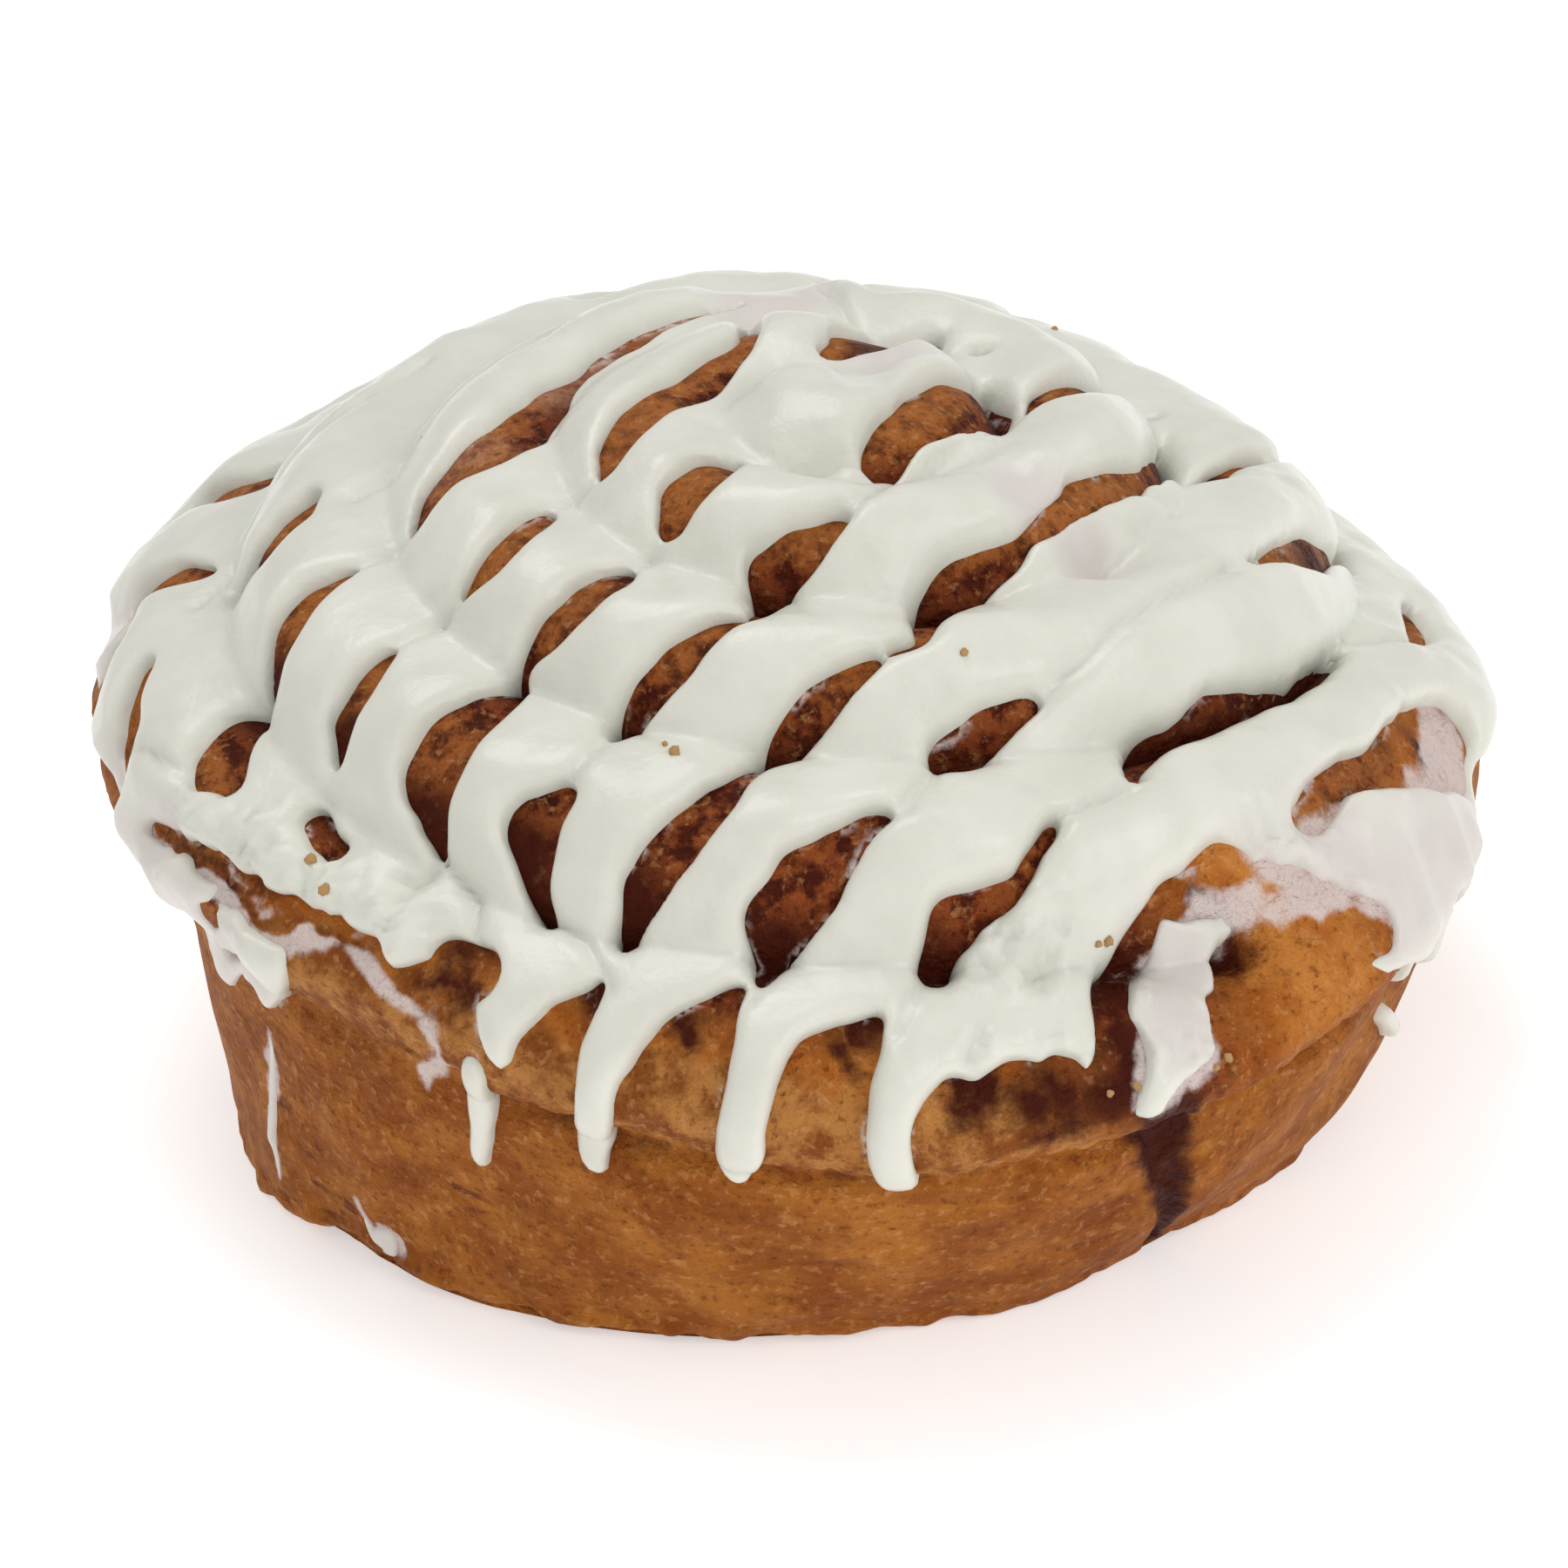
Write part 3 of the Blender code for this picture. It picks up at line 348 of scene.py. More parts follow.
def within(u, v, corners):
    """How far inside an area each point lies."""
    near, inside = np.full(u.shape, FAR), np.zeros(u.shape, bool)
    for (u0, v0), (u1, v1) in zip(corners, corners[1:] + corners[:1]):
        near = np.minimum(near, nearest(u, v, u0, v0, u1, v1)[1])
        if v1 != v0:
            inside ^= ((v0 > v) != (v1 > v)) & (u < u0 + (v - v0) * (u1 - u0) / (v1 - v0))
    return np.where(inside, near, -near)


def band(value, low, high, soft):
    """1 between two values, fading to 0 over the soft length inside each."""
    return np.clip((value - low) / soft, 0, 1) * np.clip((high - value) / soft, 0, 1)


def spots(u, v, places):
    """1 in the middle of any of the round places, fading to 0 at their rims."""
    best = np.zeros(u.shape)
    for x, y, size in places:
        best = np.maximum(best, np.clip(1.5 - 1.5 * np.hypot(u - x, v - y) / size, 0, 1))
    return best


# %% Distance inside the icing, which is torn at these round places: (u, v, radius)
TORN = (
    (-58, -26, 6), (-53, -34, 7), (-46, -40, 6), (-38, -46, 5), (14, -61, 3), (21, -60, 4),
    (30.5, -55, 6), (40, -41, 6), (-61, -36, 6), (46, -38, 5), (18, -52, 6),
)


def icing_reach(u, v):
    ends, marks = np.array(ICING_EDGE, float).T
    inside = np.interp(np.degrees(np.arctan2(v, u)), ends, marks) - np.hypot(u, v)
    for drip in DRIPS:
        inside = np.maximum(inside, reach(u, v, drip))
    for area in (FRONT_EDGE, SHEET):
        inside = np.maximum(inside, within(u, v, area))
    for gap in GAPS + BACK_GAPS + SHEET_GAPS:
        inside = np.minimum(inside, -reach(u, v, gap))
    flat = np.stack([u, v, 0 * u], -1)
    soft = 0.4 * noise_at(flat, 3.5) + 0.12 * noise_at(flat, 1.6, 5.0)
    torn = 0.9 * noise_at(flat, 1.5, 9.0) + 0.5 * noise_at(flat, 0.8, 3.0)
    return np.maximum(inside, within(u, v, SMEAR)) + soft + torn * spots(u, v, TORN)


# %% [markdown]
# ## An even mesh over the whole top
# A grid of squares would pinch at the middle and a turned profile would crowd there. Rings of points, each
# with six more than the last, keep every triangle the same size from the top to the foot. Each mesh then
# becomes an object that keeps named values at its points, which its finish reads.

# %% Ringed disc
def ringed_disc(rings, spacing):
    angle = np.hstack([[0.0]] + [2 * np.pi * np.arange(6 * k) / (6 * k) for k in range(1, rings + 1)])
    run = np.hstack([[0.0]] + [np.full(6 * k, k * spacing) for k in range(1, rings + 1)])
    faces = [(1 + j, 1 + (j + 1) % 6, 0) for j in range(6)]
    for k in range(2, rings + 1):
        first, inner, count = 3 * k * (k - 1) + 1, 3 * (k - 1) * (k - 2) + 1, 6 * (k - 1)
        for j in range(6 * k):
            side, step = divmod(j, k)
            low = inner + (side * (k - 1) + step) % count
            faces.append((first + j, first + (j + 1) % (6 * k), low))
            if step < k - 1:
                faces.append((first + (j + 1) % (6 * k), inner + (side * (k - 1) + step + 1) % count, low))
    return angle, run, np.array(faces)


# %% New pieces, with values kept at their points
def add(name, data):
    thing = bpy.data.objects.new(name, data)
    bpy.context.scene.collection.objects.link(thing)
    return thing


def finished(name, mesh, look):
    mesh.shade_smooth()
    mesh.materials.append(look)
    return add(name, mesh)


def new_piece(name, points, faces, look, marks):
    mesh = bpy.data.meshes.new(name)
    mesh.from_pydata(np.asarray(points).tolist(), [], np.asarray(faces).tolist())
    for label, values in marks.items():
        mark = mesh.attributes.new(label, "FLOAT", "POINT")
        mark.data.foreach_set("value", np.asarray(values, np.float32))
    piece = finished(name, mesh, look)
    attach(piece, "root")
    print(name, len(mesh.vertices), "points", len(mesh.polygons), "faces")
    return piece


# %% [markdown]
# ## Materials from a few helpers
# Every finish here is a Principled shader fed by noise and by the values kept on the mesh, such as how deep
# in a groove a point lies. Small helpers keep each recipe short enough to read as a recipe.

# %% Shader helpers
class Finish:
    def __init__(self, name):
        self.look = bpy.data.materials.new(name)
        self.look.use_nodes = True
        self.nodes, self.links = self.look.node_tree.nodes, self.look.node_tree.links
        self.shader = self.nodes["Principled BSDF"]
        self.place = self.nodes.new("ShaderNodeTexCoord").outputs["Object"]

    def set(self, **values):
        for label, value in values.items():
            self.put(value, self.shader.inputs[label.replace("_", " ")])

    def put(self, value, socket):
        if isinstance(value, bpy.types.NodeSocket):
            self.links.new(value, socket)
        else:
            socket.default_value = value

    def mark(self, label):
        node = self.nodes.new("ShaderNodeAttribute")
        node.attribute_name = label
        return node.outputs["Fac"]

    def noise(self, per_metre, detail=3.0, rough=0.55, stretch=None):
        node = self.nodes.new("ShaderNodeTexNoise")
        node.inputs["Scale"].default_value = per_metre
        node.inputs["Detail"].default_value = detail
        node.inputs["Roughness"].default_value = rough
        place = self.place
        if stretch:
            mapping = self.nodes.new("ShaderNodeMapping")
            mapping.inputs["Scale"].default_value = stretch
            self.links.new(place, mapping.inputs["Vector"])
            place = mapping.outputs["Vector"]
        self.links.new(place, node.inputs["Vector"])
        return node.outputs["Fac"]

    def span(self, value, low, high, to_low=0.0, to_high=1.0):
        node = self.nodes.new("ShaderNodeMapRange")
        node.interpolation_type = "SMOOTHSTEP"
        labels = ("Value", "From Min", "From Max", "To Min", "To Max")
        for label, number in zip(labels, (value, low, high, to_low, to_high)):
            self.put(number, node.inputs[label])
        return node.outputs["Result"]

    def sum(self, a, b, how="ADD"):
        node = self.nodes.new("ShaderNodeMath")
        node.operation = how
        self.put(a, node.inputs[0])
        self.put(b, node.inputs[1])
        return node.outputs[0]

    def times(self, a, b):
        return self.sum(a, b, "MULTIPLY")

    def mix(self, share, a, b):
        node = self.nodes.new("ShaderNodeMix")
        node.data_type = "RGBA"
        for index, value in ((0, share), (6, a), (7, b)):
            colour = isinstance(value, tuple)
            self.put((*value, 1) if colour else value, node.inputs[index])
        return node.outputs[2]

    def bump(self, height, depth, after=None):
        node = self.nodes.new("ShaderNodeBump")
        node.inputs["Distance"].default_value = depth
        self.links.new(height, node.inputs["Height"])
        if after is not None:
            self.links.new(after, node.inputs["Normal"])
        return node.outputs["Normal"]


# %% [markdown]
# ## The crust
# The top browned to a deep reddish brown and the wall, shielded by the cup, stayed a paler golden brown.
# Just under the lip the skin tore and shows lighter crumb. Cinnamon syrup darkens the grooves, and painted
# shade darkens them further, and the crease below the lip as well. All four are colours mixed by values
# stored on the mesh, with noise to break up their edges. Colours are linear red, green and blue.

# %% Colours of the crust
WALL_BROWN, WALL_GOLD = (0.245, 0.064, 0.006), (0.385, 0.132, 0.019)
WALL_SHADE, WALL_FLAKE, WALL_CRACK = (0.185, 0.043, 0.004), (0.510, 0.225, 0.052), (0.120, 0.026, 0.005)
TOP_DARK, TOP_RED, TOP_AMBER = (0.055, 0.007, 0.002), (0.235, 0.052, 0.012), (0.360, 0.122, 0.028)
PALE_DARK, PALE_LIGHT = (0.240, 0.085, 0.045), (0.450, 0.230, 0.140)
LIP_BROWN, LIP_GOLD = (0.350, 0.095, 0.011), (0.500, 0.185, 0.036)
TORN_BROWN, TORN_CRUMB = (0.210, 0.058, 0.010), (0.430, 0.180, 0.046)
PORE_DARK, SUGAR_LIGHT = (0.100, 0.020, 0.004), (0.620, 0.310, 0.120)
# The syrup black is also the painted shade in the grooves and in the crease below the lip
SYRUP_AND_SHADE_BLACK, GLAZE_GREY = (0.050, 0.006, 0.0015), (0.660, 0.560, 0.530)

# %% Crust material
crust = Finish("baked_dough")
fleck, mottle, patch = crust.noise(1100, 4), crust.noise(430, 5, 0.65), crust.noise(170, 5, 0.6)
layers, cracks = crust.noise(90, 5, 0.6, (1, 1, 2.6)), crust.noise(60, 6, 0.65, (1, 1, 3.0))
veil = crust.noise(330, 5, 0.6)
wall = crust.mix(crust.span(patch, 0.35, 0.65), WALL_BROWN, WALL_GOLD)
wall = crust.mix(crust.span(layers, 0.36, 0.56, 0.55, 0.0), wall, WALL_SHADE)
wall = crust.mix(crust.span(mottle, 0.56, 0.72, 0.0, 0.6), wall, WALL_FLAKE)
wall = crust.mix(crust.span(cracks, 0.33, 0.39, 0.8, 0.0), wall, WALL_CRACK)
amber = crust.span(crust.sum(crust.mark("crest"), crust.times(mottle, 2.4)), 1.35, 2.45, 0.0, 0.9)
top = crust.mix(crust.span(mottle, 0.40, 0.58), TOP_DARK, TOP_RED)
top = crust.mix(amber, top, TOP_AMBER)
pale = crust.mix(crust.span(mottle, 0.38, 0.62), PALE_DARK, PALE_LIGHT)
top = crust.mix(crust.mark("pale"), top, pale)
tone = crust.mix(crust.mark("wall"), top, wall)
golden = crust.mix(crust.span(patch, 0.35, 0.65), LIP_BROWN, LIP_GOLD)
tone = crust.mix(crust.mark("gold"), tone, golden)

# %% Torn skin, pores, syrup with painted shade, and glaze on the crust
ragged = crust.sum(crust.mark("crumb"), crust.times(mottle, 0.9))
torn_skin = crust.mix(crust.span(crust.sum(veil, layers), 0.85, 1.15), TORN_BROWN, TORN_CRUMB)
tone = crust.mix(crust.span(ragged, 0.60, 1.05), tone, torn_skin)
tone = crust.mix(crust.span(fleck, 0.30, 0.44, 0.55, 0.0), tone, PORE_DARK)
tone = crust.mix(crust.span(fleck, 0.56, 0.68, 0.0, 0.30), tone, SUGAR_LIGHT)
# Syrup black over the syrup mark, which is also painted shade in the grooves and the crease below the lip
sticky_and_shaded = crust.span(crust.sum(crust.mark("syrup_and_shade"), crust.times(mottle, 1.2)), 0.75, 1.45)
tone = crust.mix(sticky_and_shaded, tone, SYRUP_AND_SHADE_BLACK)
glazed = crust.span(crust.sum(crust.mark("glaze"), crust.times(veil, 0.9)), 0.72, 1.02, 0.0, 0.88)
tone = crust.mix(glazed, tone, GLAZE_GREY)
pores = crust.bump(fleck, 0.5 * MM)
pores = crust.bump(mottle, 0.8 * MM, pores)
pores = crust.bump(layers, 1.0 * MM, pores)
crust.set(Base_Color=tone, Roughness=crust.sum(0.55, crust.times(sticky_and_shaded, -0.08)), Normal=pores)
crust.set(Specular_IOR_Level=0.07)

# %% Dough mesh, its torn band, ragged foot and seam
RINGS, TORN_BELOW, FOOT_START = 200, 2.5, 97
SEAM_DIP = ((33.5, -65.5, 2.6), (45, -76.7, 2.0), (57.5, -89, 0.8))
angle, run, top_faces = ringed_disc(RINGS, RUN[-1] / RINGS)
u, v = run / MM * np.cos(angle), run / MM * np.sin(angle)
groove = groove_share(angle, run)
plain = surface(angle, run, 0.0)
wall_share = np.clip((run - LIP_RUN + 1 * MM) / (5 * MM), 0, 1)
lift, below, crease = crust_lift(angle, run)
rough = 0.5 * noise_at(plain, 1.6 * MM, 5.0) + 0.3 * noise_at(plain, 0.9 * MM)
rough = np.clip(1 - np.abs(below + TORN_BELOW) / 4, 0, 1) * rough
foot = 0.5 * noise_at(plain, 3.6 * MM, 8.0) + 0.2 * noise_at(plain, 1.5 * MM, 2.0) - 0.35
foot = np.clip((run / MM - FOOT_START) / 4, 0, 1) * foot
seam = np.clip(reach(u, v, SEAM_DIP) / 1.2 + 0.4, 0, 1) * (run > LIP_RUN)
seam_dip = seam * (0.9 + 0.8 * noise_at(plain, 2.4 * MM, 14.0) + 0.2 * noise_at(plain, 1.2 * MM, 15.0))
out = -GROOVE_DEPTH * groove + lift + (rough + foot - crease - seam_dip) * MM
points = surface(angle, run, out)
print("dough", len(points), "points, lumps to", round(np.abs(out).max() / MM, 1), "mm")

# %% [markdown]
# ## What the mesh remembers
# Syrup gathers in the grooves, along the seam where the strip's tail ends, and under the icing's lower edge.
# The same mark also paints shade into the grooves and into the crease below the lip.
# A band of torn crumb runs below the lip at the front, and the tail of the strip is a brighter gold.
# Each is a number from 0 to about 1 at every point, drawn with the same lines and round spots as the icing.

# %% Places of syrup, pale crust, the seam, the crack and the glaze
SYRUP_SPOTS = (
    (27, -59, 5), (26, -53, 4), (14, -63.5, 4.5), (20, -63, 6), (25, -62, 4), (-33, -53, 5),
    (-19, -57.5, 3), (-10.5, -60, 3.2), (5, -60, 3), (3, -62, 2.4), (-35, -39, 7), (-25, -45, 7),
    (-14, -51, 6), (-3, -54, 6), (10, -54, 5), (-46, -15, 6), (-41, -28, 6), (-46, 1, 5), (35, -46, 4),
    (57, -21, 3), (50, -2, 4), (33, 14, 5), (41, 8, 4), (12, 14, 5),
)
PALE_SPOTS = ((-26, 4, 6), (-15, 16, 8), (-1, 24, 9), (48, 0, 5), (-52, 23, 7), (17, 33, 8), (-30, 36, 9))
SEAM = (
    (26, -58, 2.4), (30, -61.5, 3.2), (33.5, -65.5, 3.5), (39, -71, 3.3), (45, -76.7, 2.7),
    (50, -81, 2.2), (54, -84.3, 1.7), (57.5, -89, 1.1),
)
CRACK = (
    (-60.8, -21, 0.4), (-58.4, -27, 0.6), (-55.8, -33.6, 0.7), (-52.5, -39, 0.6), (-47, -43, 0.4),
    (-42, -47.5, 0.2),
)
GLAZE = (
    ((37, -38, 1.5), (42, -40, 2.6), (47, -38, 4.0), (52, -35, 5.0), (58, -31, 6.0), (62, -24, 6.0),
     (61, -14, 3.0)),
    ((32, -47, 1.5), (30, -53, 3.2), (31, -57, 3.8), (29, -61, 2.5)),
    ((33, -47, 1.8), (38, -44, 2.0), (44, -41, 2.0)),
    ((-61, -22, 2.0), (-59, -29, 2.4), (-56, -35, 2.6), (-52, -41, 2.0), (-45, -46, 1.2)),
    ((-64, -24, 4.0), (-67, -30, 4.0), (-62, -40, 3.0)),
    ((-43.4, -46.9, 1.6), (-41.5, -50.3, 1.6), (-39, -53.4, 1.2), (-36.4, -56, 1.2), (-38, -59, 1.1),
     (-42.9, -60.7, 1.4), (-45.9, -61, 0.8)),
    ((-68, -41.5, 0.6), (-74.6, -42.7, 1.8), (-80, -43.4, 1.2), (-86, -45, 0.8)),
    ((-72.8, -61.4, 1.0), (-75.5, -64.4, 1.4), (-71.5, -67.5, 2.0)),
)


# %% Marks for the crust
def streaks(u, v, lines, soft):
    return np.max([np.clip(reach(u, v, line) / soft + 0.5, 0, 1) for line in lines], 0)


degrees, down = np.degrees(np.arctan2(v, u)), run / MM
stray_u = u + 1.5 * noise_at(plain, 5 * MM, 1.0) + 0.8 * noise_at(plain, 1.8 * MM, 2.0)
stray_v = v + 1.5 * noise_at(plain, 5 * MM, 3.0) + 0.8 * noise_at(plain, 1.8 * MM, 4.0)
pools = spots(stray_u, stray_v, SYRUP_SPOTS)
# The groove share darkens the crust as syrup and as painted shade at the bottom of the grooves
syrup_and_shade = np.maximum(groove * 0.9 + 0.35 * pools, 0.75 * pools)
fine_stray = 1.1 * noise_at(plain, 1.3 * MM, 16.0)
syrup_and_shade = np.maximum(syrup_and_shade, 0.9 * streaks(stray_u + fine_stray, stray_v - fine_stray, (SEAM,), 3.0))
crack = streaks(stray_u, stray_v, (CRACK,), 1.0)
syrup_and_shade = np.maximum(syrup_and_shade, 0.5 * crack)
front = band(degrees, -148, -66, 10)
# Painted shade in the crease below the lip, at the front and on the right side
syrup_and_shade = np.maximum(syrup_and_shade, 0.55 * crease * np.maximum(front, band(degrees, -62, -18, 6)))
crumb = front * np.clip(1.4 - np.abs(below + 6.0) / 5.2, 0, 1) * (0.8 + 0.7 * noise_at(plain, 4 * MM, 7.0))
edge = icing_reach(u, v)
veiled = np.clip(1 + edge / 1.5, 0, 1) * np.clip(3 * noise_at(plain, 6 * MM, 12.0) + 0.3, 0, 1) * (edge < 0)
gold = 0.9 * front * band(down, 58.5, 75, 4) + band(degrees, -60, -34, 8) * band(down, 48, 74, 6)
gold = gold + 0.8 * band(degrees, -32, -6, 8) * band(down, 56, 70, 4)
crest = np.clip((0.40 - groove) / 0.34, 0, 1) * np.clip((v + 60) / 45, 0, 1)
glaze = (1 - crack) * np.maximum(0.6 * streaks(stray_u, stray_v, GLAZE, 2.2), 0.45 * veiled)

# %% The crust as a piece
MOST_MARK = 1.2
bread_marks = {
    "wall": wall_share, "syrup_and_shade": syrup_and_shade, "crumb": crumb, "gold": gold, "crest": crest,
    "pale": 0.9 * spots(stray_u, stray_v, PALE_SPOTS), "glaze": glaze,
}
bread_marks = {label: np.clip(value, 0, MOST_MARK) for label, value in bread_marks.items()}
bread = new_piece("baked_bun", points, top_faces, crust.look, bread_marks)
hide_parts("dough_roll")

# %% [markdown]
# ## The icing as a thick skin
# The icing is a closed shell. Its outline is wherever the distance inside the icing is zero, so the
# triangles of a ringed disc are cut along that line, which gives a clean edge at any slant. Cutting again a
# little further in puts extra points on the rounded shoulder, where the light shows the most. A cut leaves
# thin triangles, which would show as scratches in the gloss, so the points are then evened out.

# %% Move points onto a line of equal distance
def edges_of(faces):
    """Every edge once, and how many faces share it."""
    ends = np.vstack([faces[:, [0, 1]], faces[:, [1, 2]], faces[:, [2, 0]]])
    return np.unique(np.sort(ends, 1), axis=0, return_counts=True)


NEARLY = 0.3


def settle(place, depth, faces, level):
    """Points nearly on the line move onto it, so that the cut leaves no slivers."""
    edges = edges_of(faces)[0]
    first, second = depth[edges[:, 0]] - level, depth[edges[:, 1]] - level
    crossing = (first * second < 0) & (depth[edges] != 0).all(1)
    edges, share = edges[crossing], (first / (first - second))[crossing]
    place, depth, start = place.copy(), depth.copy(), place
    for near, far, part in ((*edges.T, share), (*edges.T[::-1], 1 - share)):
        order = np.argsort(-part)[np.sort(-part) > -NEARLY]
        near, far, part = near[order], far[order], part[order, None]
        place[near] = start[near] * (1 - part) + start[far] * part
        depth[near] = level
    return place, depth


# %% Cut a mesh along a line of equal distance
def cut_along(place, depth, faces, level, keep_low):
    """Splits the faces that the line crosses, and keeps those below the level only if asked."""
    inside = depth[faces] >= level
    count = inside.sum(1)
    kept = [faces[count == 3]] + ([faces[count == 0]] if keep_low else [])
    edges, corners = [], []
    for lone_in in (True, False):
        crossed = count == (1 if lone_in else 2)
        mixed, flags = faces[crossed], inside[crossed]
        lone = np.argmax(flags if lone_in else ~flags, 1)
        a, b, c = (np.take_along_axis(mixed, ((lone + k) % 3)[:, None], 1)[:, 0] for k in range(3))
        edges += [np.stack([a, b], 1), np.stack([a, c], 1)]
        corners.append((a, b, c))
    sizes = [len(e) for e in edges]
    unique, index = np.unique(np.sort(np.vstack(edges), 1), axis=0, return_inverse=True)
    first, second = depth[unique[:, 0]], depth[unique[:, 1]]
    share = ((level - first) / (second - first))[:, None]
    fresh = place[unique[:, 0]] * (1 - share) + place[unique[:, 1]] * share
    ab_in, ac_in, ab_out, ac_out = np.split(index.reshape(-1) + len(place), np.cumsum(sizes)[:-1])
    (a, b, c), (d, e, f) = corners
    high = ((a, ab_in, ac_in), (ab_out, e, f), (ab_out, f, ac_out))
    low = ((ab_in, b, c), (ab_in, c, ac_in), (d, ab_out, ac_out)) if keep_low else ()
    kept += [np.stack(corner, 1) for corner in high + low]
    return np.vstack([place, fresh]), np.hstack([depth, np.full(len(fresh), level)]), np.vstack(kept)


# %% Even out the points
def relax(place, depth, faces, turns, hold_rim):
    """Moves each point halfway to the middle of its neighbours. On the outline it slides or is held."""
    edges, times = edges_of(faces)
    rim = np.zeros(len(place), bool)
    rim[edges[times == 1]] = True
    here, there = np.vstack([edges, edges[:, ::-1]]).T
    used = ~rim[here] | (np.tile(times == 1, 2) & (not hold_rim))
    here, there = here[used], there[used]
    number = np.bincount(here, minlength=len(place))[:, None]
    values = np.column_stack([place, depth])
    for _ in range(turns):
        total = np.stack([np.bincount(here, values[there, k], len(place)) for k in range(3)], 1)
        values = np.where(number > 0, 0.5 * values + 0.5 * total / np.maximum(number, 1), values)
    return values[:, :2], values[:, 2]


def rounded(inside, radius):
    return np.sqrt(1 - (1 - np.clip(inside / radius, 0, 1)) ** 2)


# %% Icing sheets above and below, and the round places where the icing is thin: (u, v, radius)
ICE_RINGS, ICE_SPACING = 163, 0.62
THIN = (
    (52, -38, 8), (58, -32, 9), (63, -26, 8), (66, -36, 6), (-61, -24, 5), (-66, -12, 6), (-66, 4, 7),
    (-66, -31, 9), (-60, -39, 6), (22, -11, 5), (27, -14, 5), (3, 28, 7), (13, 10, 5), (-64, 12, 7),
    (-75, -43, 8), (-86, -44, 5), (-71, -65, 7), (38, -43, 6), (31, -50, 6), (31, -55, 5), (-69, -46, 6),
    (-68, -21, 8), (-72, -32, 6), (46, -37, 7),
)
ice_angle, ice_run, ice_faces = ringed_disc(ICE_RINGS, ICE_SPACING)
place = np.stack([ice_run * np.cos(ice_angle), ice_run * np.sin(ice_angle)], 1)
depth = icing_reach(place[:, 0], place[:, 1])
place, depth = settle(place, depth, ice_faces, 0.0)
place, depth, sheet = cut_along(place, depth, ice_faces, 0.0, False)
place, depth = relax(place, depth, sheet, 4, False)
low_sheet, low_place, low_depth = sheet, place, depth
for level in (0.25, 0.8):
    place, depth, sheet = cut_along(place, depth, sheet, level, True)
place, depth = relax(place, depth, sheet, 8, True)
print("icing outline cut,", len(sheet), "faces above,", len(low_sheet), "below")

# %% [markdown]
# ## Thickness of the icing
# Trailed icing stands about two millimetres proud with a full round edge. It sinks part of the way into each
# groove, because it was soft when it went on, and it thins over the lip where it ran. Where one row lies
# against the next a crease stays, and a little noise stands for the low swells between. It never comes nearer
# to the crust than a set skin.

# %% Height of the icing over the crust
ICING_THICKNESS, DRIP_THICKNESS, RIM_EXTRA = 2.3 * MM, 1.6 * MM, 0.5 * MM
LEAST_SKIN, ICING_SINK = 0.5 * MM, 1.2 * MM
CREASE_DEPTH, CREASE_WIDTH, EDGE_ROUND, ROW_ROUND = 0.85, 0.65, 1.4, 4.2


def icing_surface(place, depth):
    u, v = place.T
    angle, run = np.arctan2(v, u), np.hypot(u, v) * MM
    groove, dip = groove_share(angle, run), groove_share(angle, run, True)
    flat = surface(angle, run, 0.0)
    front = band(np.degrees(angle), -168, -22, 20)
    past_rim = np.clip((run - LIP_RUN) / (4 * MM) + 1, 0, 1)
    thin = spots(u, v, THIN)
    full = ICING_THICKNESS + (DRIP_THICKNESS - ICING_THICKNESS) * past_rim * front
    full = full + RIM_EXTRA * past_rim * (1 - front)
    row_edge = -np.max([reach(u, v, [(*spot, 0) for spot in line]) for line in CREASES], 0)
    low_swells = 0.30 * noise_at(flat, 6 * MM, 2.0) + 0.10 * noise_at(flat, 2.4 * MM, 6.0)
    low_swells = low_swells - CREASE_DEPTH * np.exp(-((row_edge / CREASE_WIDTH) ** 2))
    torn = spots(u, v, TORN)
    crumbled = 1.5 * noise_at(flat, 2.4 * MM, 8.0) - 1.5 * np.abs(noise_at(flat, 1.3 * MM, 1.0)) + 0.3
    row_depth = np.minimum(depth, row_edge + 0.9)
    shoulder = 0.66 * rounded(depth, EDGE_ROUND) + 0.34 * rounded(row_depth, ROW_ROUND)
    lift = crust_lift(angle, run)[0]
    bare = lift - GROOVE_DEPTH * groove
    iced = full * (1 - 0.7 * thin) - ICED_GROOVE_DEPTH * dip + lift + (low_swells + torn * crumbled) * MM
    spare = iced - bare - LEAST_SKIN
    iced = bare + LEAST_SKIN + (spare + np.hypot(spare, 0.4 * MM)) / 2
    above = surface(angle, run, bare + (iced - bare) * shoulder)
    return above, surface(angle, run, bare - ICING_SINK), thin, torn


# %% Close the shell
upper, _, thin, torn = icing_surface(place, depth)
under, low_count = icing_surface(low_place, low_depth)[1], len(low_place)
loop, times = edges_of(low_sheet)
start, end = loop[times == 1].T
shift = len(upper)
sides = np.vstack([np.stack([start, end, end + shift], 1), np.stack([start, end + shift, start + shift], 1)])
all_faces = np.vstack([sheet, low_sheet[:, ::-1] + shift, sides])
print("icing edge", len(start), "steps")

# %% [markdown]
# ## The look of the icing
# Confectioner's icing is a creamy off-white, glossy where it flowed and dull where it tore. Where it is thin
# the brown below tints it a cool pinkish grey.

